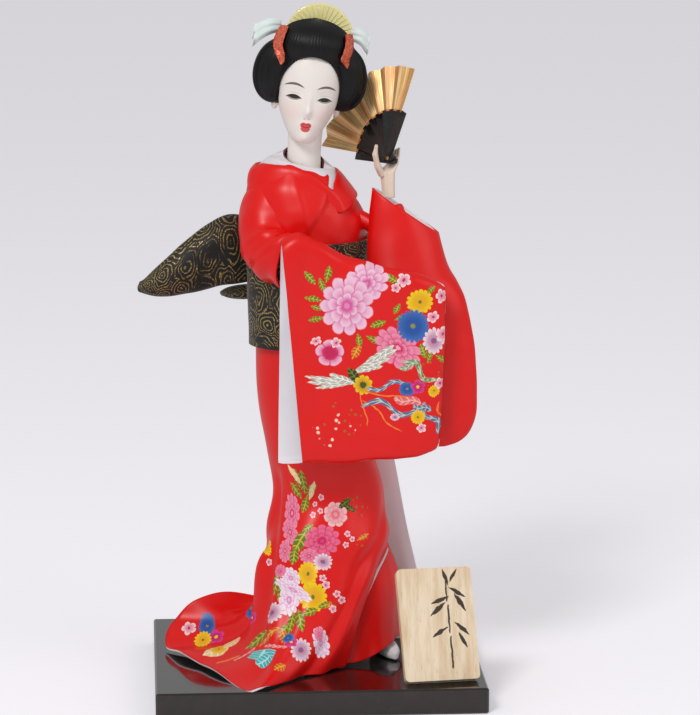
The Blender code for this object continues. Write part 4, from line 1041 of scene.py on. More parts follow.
def collar_finish(length):
    finish = plain_cloth("white collar with a maroon edge", rgb(240, 236, 240), rgb(226, 221, 228))
    up = linked("ShaderNodeSeparateXYZ", {0: uv_place(finish)}).outputs[1]
    white = shader_of(finish).inputs["Base Color"].links[0].from_socket
    line = stepped(up, length - MAROON, length - MAROON + 0.2)
    link_in(finish, mixed(line, white, rgb(110, 30, 42)), "Base Color")
    return finish


def white_spot(a, share):
    """From under the red band over the bodice's rim to the neck."""
    edge, height = by_turn(RED_EDGE, a), by_turn(NECK_EDGE, a)
    along = (height - NECK_FOOT[2]) / (NECK_TOP[2] - NECK_FOOT[2])
    middle = Vector(NECK_FOOT).lerp(Vector(NECK_TOP), along)
    return Vector(through((
        oval_out(BODICE, a, edge - 0.05, STEP * 0.8),
        oval_out(BODICE, a, edge / 2 + 0.47, STEP),
        oval_out(BODICE, a, 1.0, STEP * 0.8) + Vector((0, 0, STEP * 0.8)),
        above(middle.x + NECK_RING * cos(a), middle.y + NECK_RING * sin(a), height),
    ), share))


def red_spot(a, share):
    """From the red band's hem to its edge, which stands proud of the bodice on the overlap's side."""
    right = smooth(angle_between(a, radians(-61)), 0.0, 0.12) * smooth(angle_between(radians(50), a), 0.0, 0.5)
    proud = STEP * (2.6 * right - 1.0)
    level = by_turn(RED_HEM, a) * (1 - share) + by_turn(RED_EDGE, a) * share
    return oval_out(BODICE, a, level, proud + (2 * STEP - proud) * min(1.0, 1.25 * share))


collar_rows = tube(12, 144, white_spot)
collar_cloth = collar_finish(arc_sizes(collar_rows, True)[1])
dressed("white_neck_band", collar_rows, CLOTH, collar_cloth, LINING, ring=True,
        solid="white_collar", slot="white_cloth", held="laid", rests_on=["red_bodice", "porcelain_head"])
dressed("red_neck_band", tube(8, 144, red_spot), CLOTH, RED, ring=True,
        solid="red_collar", slot="red_satin", held="laid", rests_on=["red_bodice"])

# %% [markdown]
# The sash is wide and stiff. Its bow at the back is a knot, two loops with open mouths, lined in
# red, and a roll below. The loops droop outwards like wings.

# %% Sash and bow
SASH_CLOTH = 1.2
BOW_TURN = radians(19.0)
BOW_KNOT = (11.0, 7.5, 14.0)
BOW_KNOT_HEIGHT = 184.5
BOW_LOOP = (
    (24.0, 1.0, 13.5, 8.0),
    (34.0, 2.0, 16.0, 8.6),
    (43.0, 0.0, 14.6, 7.6),
    (53.0, -4.5, 11.2, 6.4),
    (62.0, -9.1, 7.6, 5.0),
    (68.5, -11.9, 4.4, 3.4),
    (71.0, -12.3, 1.7, 1.5),
)
BOW_MOUTH_LEAN = 0.45
BOW_ROLL = (31.0, 8.5, 3.4)
BOW_ROLL_DROP = 18.1


def sash_move(u, v, point):
    return 0.25 * waves(point, 9.0, 4.0) + 0.35 * bell(v, 0.5, 0.05)


sash_grid = moved_out(tube(26, 120, partial(oval_point, SASH)), sash_move, True)
dressed("brocade_sash", sash_grid, SASH_CLOTH, BROCADE, PADDING, ring=True,
        solid="sash", slot="brocade", held="folded", rests_on=["body_form"])

bow_back = Vector((-sin(BOW_TURN), cos(BOW_TURN), 0))
bow_out = Vector((cos(BOW_TURN), sin(BOW_TURN), 0))
_, sash_x, sash_y, _, sash_depth, _ = through(SASH, 0.6)
knot_reach = sash_depth + SASH_CLOTH / 2 + BOW_KNOT[1]
bow_middle = above(sash_x, sash_y, BOW_KNOT_HEIGHT) + bow_back * knot_reach
bow_place = Matrix.Translation(bow_middle) @ Matrix.Rotation(BOW_TURN, 4, "Z")


def loop_grid(side):
    start = BOW_KNOT[0] + GAP - BOW_LOOP[0][0]

    def spot(a, t):
        reach, rise, half_height, half_depth = through(BOW_LOOP, t)
        y = half_depth * cos(a)
        reach += start * (1 - t) + BOW_MOUTH_LEAN * (half_depth - y) * (1 - t) ** 2
        pinch = 1.0 - 0.1 * bell(sin(a), 0.2, 0.3) * (1 - t)
        return bow_place @ Vector((side * reach, y * pinch, rise + half_height * sin(a)))

    return tube(34, 64, spot, -side)


def loop_move(u, v, point):
    crease = 0.35 * waves(point, 8.0, 7.0) + 0.5 * sin(tau * (2 * u + 1.5 * v))
    return -0.3 - crease - 0.8 * sin(tau * 5 * u) * (1 - v) ** 2


for side, name in ((-1, "left"), (1, "right")):
    dressed(f"{name}_wing_of_bow", moved_out(loop_grid(side), loop_move, True), SASH_CLOTH * 0.8, BROCADE, RED,
            ring=True, cap=1, solid=f"bow_{name}_loop", slot="brocade", held="folded", rests_on=["knot_of_bow"])


def rolled(name, solid, middle, half_sizes, blunt, low, move):
    """A stuffed roll of brocade along the bow, rounded at its ends."""
    def spot(a, t):
        across = -cos(pi * t)
        swell = sqrt(max(low, 1 - abs(across) ** blunt))
        round_it = bow_back * half_sizes[1] * swell * cos(a) + Vector((0, 0, half_sizes[2] * swell * sin(a)))
        return middle + bow_out * half_sizes[0] * across + round_it

    roll = closed_skin(name, moved_out(tube(36, 40, spot), move, True), BROCADE, True)
    worn(roll, solid, slot="brocade")


def knot_move(u, v, point):
    return 0.6 * sin(tau * 5 * u) * bell(v, 0.5, 0.4) + 0.3 * waves(point, 6.0, 3.0)


def roll_move(u, v, point):
    return 0.2 * waves(point, 7.0, 1.0)


rolled("knot_of_bow", "bow_knot", bow_middle, BOW_KNOT, 3, 0.1, knot_move)
roll_middle = bow_middle - Vector((0, 0, BOW_ROLL_DROP))
rolled("roll_under_bow", "bow_lower_roll", roll_middle, BOW_ROLL, 6, 0.12, roll_move)

# %% [markdown]
# ## Sleeves
#
# The right sleeve comes from the shoulder to the elbow, where the arm bends across the body, and
# there it meets the long hanging sleeve. The hanging sleeve is a flat bag, open on its inner side,
# where its white lining shows. The left sleeve hangs open at the top round the raised forearm.

# %% Upper right sleeve
UPPER_SLEEVE = (
    (-13.0, 3.0, 214.0, 12.5, 13.5),
    (-19.5, 0.0, 208.0, 14.0, 14.0),
    (-21.5, -6.0, 199.5, 13.5, 13.0),
    (-21.0, -13.0, 191.5, 12.5, 11.0),
    (-17.5, -19.5, 190.0, 11.5, 8.5),
    (-13.0, -25.0, 189.0, 12.0, 6.4),
)
UPPER_SLEEVE_WAYS = ((-6.5, -3.0, -6.0), (4.5, -5.5, -1.0))


upper_start, upper_end = (Vector(way).to_track_quat("Z", "Y") for way in UPPER_SLEEVE_WAYS)


def upper_sleeve_spot(a, t):
    x, y, height, half_height, half_depth = through(UPPER_SLEEVE, t)
    turn = upper_start.slerp(upper_end, t)
    return above(x, y, height) + turn @ Vector((half_depth * cos(a), half_height * sin(a), 0))


def upper_sleeve_move(u, v, point):
    """Folds that gather towards the bent elbow."""
    fold = sin(tau * 4.0 * v + 3.0 * sin(tau * u)) * (0.3 + 0.7 * v)
    return -0.45 - 0.8 * fold * bell(v, 0.75, 0.4) - 0.5 * waves(point, 8.0, 6.0)


def clear_of(mesh, forms):
    """Takes off the faces that lie wholly inside the body's forms, where a real seam hides them."""
    work = bmesh.new()
    work.from_mesh(mesh)
    inside = {v for v in work.verts if any(inside_ovals(levels, v.co / MM, out) for levels, out in forms)}
    hidden = [f for f in work.faces if inside.issuperset(f.verts)]
    bmesh.ops.delete(work, geom=hidden, context="FACES")
    work.to_mesh(mesh)
    work.free()


sleeve_rings = moved_out(tube(44, 72, upper_sleeve_spot, -1), upper_sleeve_move, True)
dressed("right_shoulder_sleeve", sleeve_rings, CLOTH, RED, LINING, ring=True,
        clear=((BODICE, -0.4), (SASH, -0.4)), solid="right_upper_sleeve", slot="red_satin",
        held="hung", rests_on=["red_bodice", "right_arm"])

# %% Hanging right sleeve
SLEEVE_TOP = (
    (-16.8, 201.0), (-8.5, 204.4), (0.5, 200.0), (11.5, 194.0), (22.6, 190.6), (36.0, 187.2), (57.0, 182.0),
)
SLEEVE_DROP_LEFT = 102.4
SLEEVE_BOTTOM_RISE = 4.0
SLEEVE_FRONT_EDGE_SHIFT = 9.2
SLEEVE_BACK_EDGE_SHIFT = -1.6
SLEEVE_OUTER_EDGE_SHIFT = 2.6
SLEEVE_MIDDLE_Y = -35.6
SLEEVE_HALF_DEPTH = 5.6
SLEEVE_SECTION = (
    (0.0, 0.0), (0.012, 0.55), (0.045, 0.93), (0.12, 1.0), (0.3, 0.86), (0.55, 0.72), (0.8, 0.7),
    (0.95, 0.66), (0.99, 0.42), (1.0, 0.0),
)


def sleeve_point(u, share, depth, front):
    x, top = through(SLEEVE_TOP, u)
    first = SLEEVE_FRONT_EDGE_SHIFT if front else SLEEVE_BACK_EDGE_SHIFT
    x += first * share * (1 - u) - SLEEVE_OUTER_EDGE_SHIFT * share * u**4
    bottom = SLEEVE_TOP[0][1] - SLEEVE_DROP_LEFT + SLEEVE_BOTTOM_RISE * u**3
    narrow = sqrt(max(0.06, 1 - u**10))
    y = SLEEVE_HALF_DEPTH * depth * narrow
    round_end = 0.06 * max(0.0, u - 0.9) / 0.1
    fall = top + (bottom - top) * (share + round_end * (0.5 - share))
    return above(x, SLEEVE_MIDDLE_Y + (-y if front else y), fall)


def sleeve_grid(stations, points):
    section = [through(SLEEVE_SECTION, k / points) for k in range(points + 1)]
    section[0], section[-1] = [0.0, 0.0], [1.0, 0.0]
    around = [(*place, True) for place in section] + [(*place, False) for place in section[-2:0:-1]]
    return [[sleeve_point(k / stations, *place) for place in around] for k in range(stations + 1)]


def hanging_move(u, v, point):
    """Soft upright sways, and slanting creases from the gathered top."""
    down = smooth(200.0 + BASE_HEIGHT - point.z, 0.0, 90.0)
    sway = 0.5 * sin(tau * 2.3 * v + 2.2 * down) * (0.4 + 0.6 * down)
    crease = 0.45 * sin(tau * (3.5 * v + 1.6 * down)) * bell(down, 0.15, 0.3)
    return 0.9 * (sway + crease) + 0.55 * waves(point, 12.0, 8.0) - 0.5


SLEEVE_PRINT = layout("""
leaf 310 278 9 3.6 128, 328 274 9 3.8 75, 322 285 8 3.2 110, 313 299 9 3.2 172, 316 319 8 3 190
leaf 317 308 7 2.6 160, 378 324 9 3.6 20, 374 340 9 3.4 330, 359 341 8 3.2 280, 392 279 9 3.8 325
leaf 397 309 6 3 60, 400 318 6 2.6 20, 423 351 8 4 290, 442 359 7 3 325, 430 356 8 3 250, 431 290 6 3 40
peony 366 284 25 20 30, 347 306 28 31 0
blossom 404 280 7.5 7.5 10, 396 288 5 5 40
pink_peony 398 348 19 27 50
bud 330 353 15 14 0
blossom 316 341 6 4.5 20, 336 343 6 5 60
yellow_daisy 420 302 14 13 0
blue_daisy 413 326 17 17.5 10
pale_daisy 434 341 12 14 0
blossom 441.5 296 6 7.5 0, 433 317 7 6 30, 443 334 7 8 50
orange_leaf 356 352 8 5 60
feather 330 380 26 2.6 352, 329 383 22 2.4 358, 332 386 17 2.2 8, 342 379 14 3.4 340, 376 360 24 3 27
feather 372 365 20 2.6 20, 369 369 14 2.4 12, 380 354 17 2.6 30
dark_leaf 354 376 11 4.6 305
yellow_body 363 385 10 10.5 0
grey_ribbon 386 386 20 2.6 14 0.9
green_ribbon 420 371 20 3.2 320 -1.2, 409 366 10 2.6 20 0.5
orange_ribbon 391 396 28 0.9 350 1.5, 382 416 26 0.8 317 -2, 364 410 17 0.7 285 1
pink_ribbon 408 401 14 4.2 352 0.3
blue_daisy 407.5 389 9 7.5 0
magenta_blossom 418 387 7.5 7.5 0
yellow_daisy 434 391 6 6.5 0
blossom 440 383 5.5 6 0
grey_ribbon 391 408 30 3 348 -1.6, 431 418 18 3.4 305 1.2, 422 408 10 3 350 0.4
yellow_daisy 418 417 7.5 7.5 0
pale_daisy 395 417 5 4 0
blossom 421.5 428 5 5 0
orange_ribbon 441 415 8 0.8 280 2.5
sprig 334.6 426 22 22 0
olive_sprig 343 419 20 18 0, 430 372 18 14 0
""")
sleeve = dressed("right_hanging_sleeve", moved_out(sleeve_grid(60, 64), hanging_move, True), CLOTH, RED, LINING,
                 ring=True, cap=1, solid="right_sleeve", slot="red_satin",
                 held="hung", rests_on=["right_shoulder_sleeve", "right_arm"])
lay_prints(sleeve, "printed sleeve", prints_seen(sleeve, SLEEVE_PRINT))

# %% Left sleeve
LEFT_SLEEVE = (
    (209.0, 41.0, -4.4, 15.2, 8.8, 0.68),
    (191.0, 41.8, -9.0, 18.4, 9.0, 0.35),
    (179.0, 43.8, -14.0, 20.8, 8.2, 0.1),
    (168.0, 45.2, -16.5, 23.0, 7.2, 0.0),
    (151.5, 47.2, -18.5, 24.5, 6.0, 0.0),
    (133.0, 48.2, -19.5, 25.0, 5.4, 0.0),
    (119.0, 48.4, -20.0, 24.4, 5.0, 0.0),
    (109.7, 48.0, -20.5, 21.6, 4.2, 0.0),
    (105.0, 47.5, -20.8, 17.4, 3.0, 0.0),
    (102.9, 47.0, -21.0, 10.8, 1.6, 0.0),
)


def left_move(u, v, point):
    fold = 0.5 * sin(tau * 3 * u + 4.0 * v) * smooth(v, 0.05, 0.5) + 0.4 * waves(point, 11.0, 12.0)
    return -0.4 - 1.3 * fold


left_grid = moved_out(tube(48, 84, partial(oval_point, LEFT_SLEEVE), -1), left_move, True)
dressed("left_hanging_sleeve", left_grid, CLOTH, RED, LINING, ring=True, cap=1,
        solid="left_sleeve", slot="red_satin", held="hung", rests_on=["left_arm_in_satin", "red_bodice"])
left_arm = copied("left_arm_in_satin", "left_arm", RED, grain=0.6, turns=12)
worn(left_arm, "left_arm", slot="padding")

# %% [markdown]
# The skirt's print is laid last, when the sleeve's list has shown how a motif is placed.

# %% Printed skirt
SKIRT_PRINT = layout("""
leaf 303 482 12 4 100, 311 490 9 4 60, 296 490 9 4 130, 305 505 8 4.5 70, 297 478 9 3.5 110
cream_leaf 294 474 11 3 130, 312 490 10 2.8 75
pink_peony 292 513 8 20 0, 290 532 7 14 20, 285 551 6.5 12 0
leaf 300 541 15 6.5 60, 294 556 9 5 80, 308 528 7 3.6 30
rosette 335.4 514.5 12.5 13 0
dark_leaf 345 503 8 3.5 40, 350 508 7 3 330
magenta_peony 322 541 19 17 10
pink_peony 309 556 10 8 0
pale_daisy 323 562 10 9 0
cream_leaf 313 570 6 4 30
yellow_daisy 308 574 10 13 0, 313 597 15 16 20
leaf 276 583 9 4.5 80, 281 590 10 4 70
white_peony 291 578 9 12 30, 289 600 11 17 0
pink_peony 280 571 6 7 0
white_peony 293 590 7 22 60
pale_daisy 272 613 9 10 0
leaf 300 620 12 4.6 100, 291 624 12 4 75, 284 630 9 4 50, 310 612 9 4 20
orange_leaf 284 637 8 4 100
leaf 325 605 8 3.5 20
orange_leaf 331 607 6 3.5 330
blossom 326 585 4.4 4.4 0, 323 578 4 4 30, 337 594 4 4 0, 342 600 4 4 0, 333 609 4 4 0, 321 497.5 3.2 3.6 0
blossom 320 511 3 3.4 0, 313 515 3 3.4 0, 315 504 2.6 3 0, 347.5 534 3.2 3.2 0, 352 539 3 3 0
blossom 346 545 3.2 3.2 0
orange_leaf 363 537 7 2.6 30
olive_sprig 360 538 12 9 0, 355 508 14 14 0
white_peony 321 643 7 16 0
pink_peony 319 634 5 8 0
pale_daisy 301 650 11 12 0
magenta_blossom 291 642 7 5 0
blue_daisy 288 638 6 4 0
leaf 258 640 12 5 10
orange_leaf 268 636 9 4 20
turquoise_ribbon 262 655 6 11 60, 264 661 8 6 30
orange_leaf 280 667 7 4 30
pink_ribbon 275 646 14 1.6 340
blue_daisy 207 626 9 9 0
magenta_blossom 216 637 9 7 0
yellow_daisy 203 640 9 8 0
blossom 189 628 8 6 0
cream_leaf 216 651 14 7 20
yellow_daisy 219 649 9 6 0
cream_leaf 232 643 12 5 50
orange_ribbon 228 660 12 1.4 10
pink_ribbon 245 655 12 1.2 20
blue_daisy 251 608 5 9 0
magenta_blossom 252 618 5 6 0
yellow_daisy 267 547 4 6 0
blossom 269 562 3.4 4 0
""")
lay_prints(skirt, "printed skirt", prints_seen(skirt, SKIRT_PRINT))

# %% [markdown]
# ## Head
#
# The head is moulded and painted like porcelain. Its skin goes through the same levels as the solid
# one, only finer, so that the nose, lips and chin are really there. The painted brows, eyes and lips
# are shapes in the face's own plane.

# %% Head
HEAD_CENTRE = (-2.5, 3.0, 263.0)
HEAD_ROLL = 8.0
HEAD_LEVELS = (
    (-23.2, 3.2, -9.8, -2.0),
    (-21.6, 5.6, -12.4, 2.0),
    (-17.0, 8.6, -13.9, 7.0),
    (-10.0, 11.9, -14.5, 12.0),
    (-2.0, 14.0, -14.9, 15.5),
    (7.0, 14.5, -15.2, 16.6),
    (15.0, 13.2, -13.8, 15.6),
    (21.0, 9.6, -10.0, 11.6),
    (24.6, 3.4, -3.8, 5.0),
)
FACE_BUMPS = (
    (0.0, -8.4, 1.9, 2.4, 2.3),
    (0.0, -3.6, 1.5, 3.6, 1.1),
    (0.0, -14.2, 3.0, 1.5, 0.7),
    (0.0, -20.4, 3.4, 2.2, 0.9),
    (6.4, -0.6, 3.0, 2.2, -0.8),
    (-6.4, -0.6, 3.0, 2.2, -0.8),
    (7.8, -7.6, 3.6, 3.6, 0.5),
    (-7.8, -7.6, 3.6, 3.6, 0.5),
)
NECK_HALF = 8.4
EAR = (1.9, 3.4, 5.0)
EAR_PLACE = (14.2, 4.0, -6.0)
head_frame = Matrix.Translation(above(*HEAD_CENTRE)) @ Matrix.Rotation(radians(HEAD_ROLL), 4, "Y")


def head_spot(even, t):
    """The face is drawn together at its front, so that its features have more points."""
    height, half, front, back = through(HEAD_LEVELS, t)
    a = even - 0.35 * sin(2 * even) * (1 if cos(even) > 0 else 0.4)
    x = half * sin(a)
    if cos(a) > 0:
        y = front * abs(cos(a)) ** 0.9
        for bx, bz, sx, sz, forward in FACE_BUMPS:
            y -= forward * exp(-((x - bx) / sx) ** 2 - ((height - bz) / sz) ** 2)
    else:
        y = back * abs(cos(a))
    return head_frame @ Vector((x, y, height))


def neck_spot(a, t):
    half = NECK_HALF - 0.8 * sin(pi * t)
    return above(*NECK_FOOT).lerp(above(*NECK_TOP), t) + Vector((half * cos(a), half * sin(a), 0))


def ear_rings(side):
    def spot(a, tall):
        out = Vector((EAR[0] * sin(tall) * cos(a), EAR[1] * sin(tall) * sin(a), EAR[2] * cos(tall)))
        return head_frame @ (Vector((side * EAR_PLACE[0], *EAR_PLACE[1:])) + out)

    return globe(20, 32, spot)


# %% [markdown]
# The painted face is flat colour in the shader. Two lines through the head's middle give each point
# its place across and up the face in millimetres, and brows, eyes and lips are drawn as curves there.

# %% Painted face
def oval(across, up, half_wide, half_high, soft):
    """1 inside an oval round 0, 0 outside, with a soft edge."""
    a = power(size_of(over(across, half_wide)), 2.0)
    b = power(size_of(over(up, half_high)), 2.0)
    return stepped(plus(a, b), 1.0 - soft, 1.0 + soft, 1.0, 0.0)


def arched(across, middle, half, low, rise):
    """A curve that rises in its middle, as a height for each place across."""
    part = over(minus(across, middle), half)
    return minus(low + rise, times(times(part, part), rise))


def stroke(across, up, middle, half, low, rise, thick):
    """A painted stroke along such a curve, thin at both ends."""
    off = minus(up, arched(across, middle, half, low, rise))
    return oval(minus(across, middle), off, half, thick, 0.35)


def face_finish():
    finish = skin_finish("porcelain face", rgb(246, 236, 229))
    away = linked("ShaderNodeVectorMath", {0: object_place(finish), 1: head_frame.translation * MM},
                operation="SUBTRACT").outputs[0]
    x = dotted(away, head_frame.col[0].to_3d() / MM)
    z = dotted(away, head_frame.col[2].to_3d() / MM)
    y = dotted(away, head_frame.col[1].to_3d() / MM)
    front = stepped(y, -8.0, -6.0, 1.0, 0.0)
    side = size_of(x)
    blush = oval(minus(side, 8.0), plus(z, 9.0), 5.0, 4.5, 0.9)
    colour = mixed(times(blush, 0.35), rgb(246, 237, 230), rgb(248, 214, 204))
    layers = (
        (stroke(side, z, 7.3, 4.3, 2.4, 1.3, 0.55), rgb(72, 62, 62), 0.9),
        (oval(minus(side, 6.9), plus(z, 2.3), 2.9, 0.8, 0.3), rgb(120, 104, 100), 1.0),
        (oval(minus(side, 6.8), plus(z, 2.1), 2.0, 0.95, 0.25), rgb(14, 9, 9), 1.0),
        (stroke(side, z, 7.0, 3.5, -2.7, 1.1, 0.48), rgb(14, 10, 10), 1.0),
        (stroke(side, z, 7.0, 3.1, -2.6, -0.8, 0.2), rgb(90, 70, 66), 0.8),
        (stroke(side, z, 7.2, 3.0, -1.0, 0.7, 0.14), rgb(190, 164, 156), 0.6),
        (oval(minus(side, 1.0), plus(z, 14.3), 1.5, 1.2, 0.25), rgb(214, 62, 68), 1.0),
        (oval(x, plus(z, 15.9), 2.1, 1.55, 0.25), rgb(226, 84, 84), 1.0),
        (stroke(x, z, 0.0, 2.2, -14.9, -0.25, 0.2), rgb(160, 30, 38), 0.9),
        # The two small brownish dots under the nose are painted shade, standing in for nostril hollows that the skin
        # doesn't have.
        (oval(minus(side, 1.0), plus(z, 11.4), 0.5, 0.25, 0.5), rgb(190, 140, 128), 0.7),
    )
    for mask, paint, share in layers:
        mask = times(times(mask, front), share)
        colour = mixed(mask, colour, paint)
    link_in(finish, colour, "Base Color")
    return finish


FACE = face_finish()
HAND = skin_finish("moulded hand", rgb(236, 216, 198))


def joined(name, parts):
    """Puts several skins into one piece."""
    work = bmesh.new()
    finishes = parts[0].data.materials[:]
    for part in parts:
        work.from_mesh(part.data)
        bpy.data.objects.remove(part)
    mesh = bpy.data.meshes.new(name)
    work.to_mesh(mesh)
    work.free()
    for finish in finishes:
        mesh.materials.append(finish)
    mesh.shade_smooth()
    return link(name, mesh)


forms = {
    "head skin": tube(89, 120, head_spot), "neck skin": tube(19, 64, neck_spot),
    "left ear": ear_rings(-1), "right ear": ear_rings(1),
}
head = joined("porcelain_head", [closed_skin(name, rings, FACE) for name, rings in forms.items()])
worn(remade(head, FACE, grain=0.45, turns=2), "head", slot="moulded_skin")

# %% [markdown]
# ## Hair
#
# The wig is one smooth mass: a front roll, two lobes over the ears, a knot and a nape, melted into
# each other by a soft maximum of how far each reaches. The hairline is an arch. Inside it the hair
# is drawn back under the skin, so that the face shows.

# %% Wig
WIG_MIDDLE = (0.0, 2.0, 8.0)
WIG_ROLLS = {
    "front": ((0.0, -1.4, 20.8), (17.6, 15.4, 12.2)),
    "cap": ((0.0, 4.4, 8.0), (17.4, 17.6, 21.0)),
    "left": ((-16.3, 3.4, 5.2), (10.2, 10.4, 13.6)),
    "right": ((16.3, 3.4, 5.2), (10.2, 10.4, 13.6)),
    "knot": ((0.0, 13.5, 24.0), (9.5, 8.5, 9.0)),
    "nape": ((0.0, 16.5, -1.5), (12.0, 7.5, 8.5)),
    "left shoulder": ((-14.5, 2.0, 12.2), (9.0, 10.0, 9.6)),
    "right shoulder": ((14.5, 2.0, 12.2), (9.0, 10.0, 9.6)),
}
MELT = 1.6
WIG_TRIM = 0.6
# The hairline's arch over the face: half its width, its height and how low it starts
HAIRLINE = (14.0, 17.3, -1.0)
# The face's skin in front: half its width and height, the height of its middle, and how blunt it is
SKIN = (15.2, 24.6, 2.0, 0.45)
HAIR_PROUD = 1.6
HAIR_TUCKED = 3.5
COMB_MARK = 0.1
COMB_MARKS = 80


def wig_reach(way):
    """How far the hair reaches from its middle: the soft largest of the rolls' reaches."""
    reaches = []
    for centre, half_sizes in WIG_ROLLS.values():
        start = Vector(WIG_MIDDLE) - Vector(centre)
        a = sum((way[k] / half_sizes[k]) ** 2 for k in range(3))
        b = sum(start[k] * way[k] / half_sizes[k] ** 2 for k in range(3))
        c = sum((start[k] / half_sizes[k]) ** 2 for k in range(3)) - 1
        inside = b * b - a * c
        if inside > 0:
            reaches.append((-b + sqrt(inside)) / a)
    most = max(reaches)
    return most + MELT * log(sum(exp((r - most) / MELT) for r in reaches)) - WIG_TRIM


def wig_spot(azimuth, tall):
    """A place on the hair. Inside the hairline it is drawn back under the face's skin."""
    elevation = tall - pi / 2
    way = Vector((sin(azimuth) * cos(elevation), -cos(azimuth) * cos(elevation), sin(elevation)))
    spot = Vector(WIG_MIDDLE) + way * wig_reach(way)
    half, high, low = HAIRLINE
    arch = (spot.x / half) ** 2 + ((max(spot.z, low) - low) / high) ** 2
    back = (1 - smooth(arch, 0.9, 1.06)) * smooth(3.0 - spot.y, 0.0, 4.0)
    half, high, middle, blunt = SKIN
    narrow = sqrt(max(0.02, 1 - ((spot.z - middle) / high) ** 2))
    skin = -half * narrow * max(0.0, 1 - (spot.x / half / narrow) ** 2) ** blunt
    if spot.y < 2.0 and spot.z < 21:
        spot.y += min(0.0, skin - HAIR_PROUD - spot.y) * smooth(spot.z, -9.0, -3.0)
        spot.y += (skin + HAIR_TUCKED - spot.y) * back
    return head_frame @ (spot + way * COMB_MARK * sin(COMB_MARKS * azimuth) * (1 - back))


worn(closed_skin("combed_wig", globe(110, 320, wig_spot), HAIR), "wig", slot="black_hair")

# %% [markdown]
# The comb is a clear yellow dome with ribs, the loops beside it are folded ribbon, and two strips of
# red glitter come down over the hair. Ribs and glitter flakes repeat, so Geometry Nodes lay them out:
# one tree fans a rib round a middle, the other scatters flakes over a strip with a fixed seed.

# %% Trees that repeat a shape
def new_tree(name, *inputs):
    tree = bpy.data.node_groups.new(name, "GeometryNodeTree")
    for label, kind in (("Geometry", "Geometry"), *inputs):
        tree.interface.new_socket(label, in_out="INPUT", socket_type="NodeSocket" + kind)
    tree.interface.new_socket("Geometry", in_out="OUTPUT", socket_type="NodeSocketGeometry")
    return tree, tree.nodes.new("NodeGroupInput").outputs, tree.nodes.new("NodeGroupOutput").inputs


def fan_tree():
    tree, given, end = new_tree("fanned", ("Count", "Int"), ("Step", "Float"), ("Finish", "Material"))
    line = node(tree, "GeometryNodeMeshLine", {"Count": given["Count"], "Offset": (0.0, 0.0, 0.0)})
    index = node(tree, "GeometryNodeInputIndex").outputs[0]
    middle = over(minus(given["Count"], 1.0), 2.0)
    turn = times(minus(index, middle), given["Step"])
    way = node(tree, "ShaderNodeCombineXYZ", {1: turn}).outputs[0]
    laid = node(tree, "GeometryNodeInstanceOnPoints", {"Points": line.outputs[0], "Instance": given["Geometry"],
                                                        "Rotation": way})
    real = node(tree, "GeometryNodeRealizeInstances", {0: laid.outputs[0]})
    done = node(tree, "GeometryNodeSetMaterial", {"Geometry": real.outputs[0], "Material": given["Finish"]})
    tree.links.new(done.outputs[0], end["Geometry"])
    return tree


def scatter_tree():
    tree, given, end = new_tree("scattered", ("Density", "Float"), ("Size", "Float"), ("Seed", "Int"),
                                ("Finish", "Material"))
    spots = node(tree, "GeometryNodeDistributePointsOnFaces", {"Mesh": given["Geometry"], "Density": given["Density"],
                                                              "Seed": given["Seed"]})
    flake = node(tree, "GeometryNodeMeshCube", {"Size": (1.0, 1.0, 0.2)})
    tilt = node(tree, "FunctionNodeRandomValue", {0: (-0.7, -0.7, 0.0), 1: (0.7, 0.7, 6.3), "Seed": given["Seed"]},
                data_type="FLOAT_VECTOR").outputs[0]
    way = node(tree, "FunctionNodeRotateRotation", {0: spots.outputs["Rotation"], 1: tilt}, rotation_space="LOCAL")
    laid = node(tree, "GeometryNodeInstanceOnPoints", {"Points": spots.outputs[0], "Instance": flake.outputs[0],
                                                        "Rotation": way.outputs[0], "Scale": given["Size"]})
    real = node(tree, "GeometryNodeRealizeInstances", {0: laid.outputs[0]})
    both = tree.nodes.new("GeometryNodeJoinGeometry")
    tree.links.new(given["Geometry"], both.inputs[0])
    tree.links.new(real.outputs[0], both.inputs[0])
    done = node(tree, "GeometryNodeSetMaterial", {"Geometry": both.outputs[0], "Material": given["Finish"]})
    tree.links.new(done.outputs[0], end["Geometry"])
    return tree


def grown(item, tree, **values):
    """Runs a Geometry Nodes tree on the piece with these named inputs, and bakes the result."""
    step = item.modifiers.new("grown", "NODES")
    step.node_group = tree
    for socket in tree.interface.items_tree:
        if socket.in_out == "INPUT" and socket.name in values:
            step[socket.identifier] = values[socket.name]
    return plain(item)


FANNED, SCATTERED = fan_tree(), scatter_tree()

# %% Comb, ribbon loops and glitter
COMB_RADIUS = 15.6
COMB_PLACE = (0.5, 10.5, 23.5)
COMB = new_finish("clear yellow comb", rgb(250, 236, 140), 0.22, Transmission_Weight=0.15, IOR=1.4, Coat_Weight=0.2)
comb_noise = noisy(object_place(COMB), 160.0, 2.0).outputs[0]
link_in(COMB, mixed(comb_noise, rgb(255, 240, 140), rgb(255, 252, 205)), "Base Color")
comb_middle = Vector(COMB_PLACE) + Vector((1.6, 0, 0))


def dome_spot(a, share):
    swell = sqrt(max(0.0, 1 - (2 * share - 1) ** 8))
    reach = (COMB_RADIUS - 0.35 * abs(sin(24 * a))) * swell if 0 < share < 1 else 13.5
    return head_frame @ (comb_middle + Vector((reach * cos(a), 1.2 * (share - 0.5), reach * sin(a))))


rib = [[Vector((0.32 * cos(tau * i / 8), 0.32 * sin(tau * i / 8) - 0.75, z)) for i in range(8)]
       for z in (6.0, 9.0, 12.0, 14.6)]
ribs = grown(closed_skin("comb ribs", rib, COMB), FANNED, Count=17, Step=radians(9.5), Finish=COMB)
place = head_frame @ Matrix.Translation(comb_middle)
place.translation *= MM
ribs.data.transform(place)
comb = joined("ribbed_comb", [closed_skin("clear comb", tube(8, 96, dome_spot), COMB), ribs])
worn(comb, "comb", slot="yellow_comb")

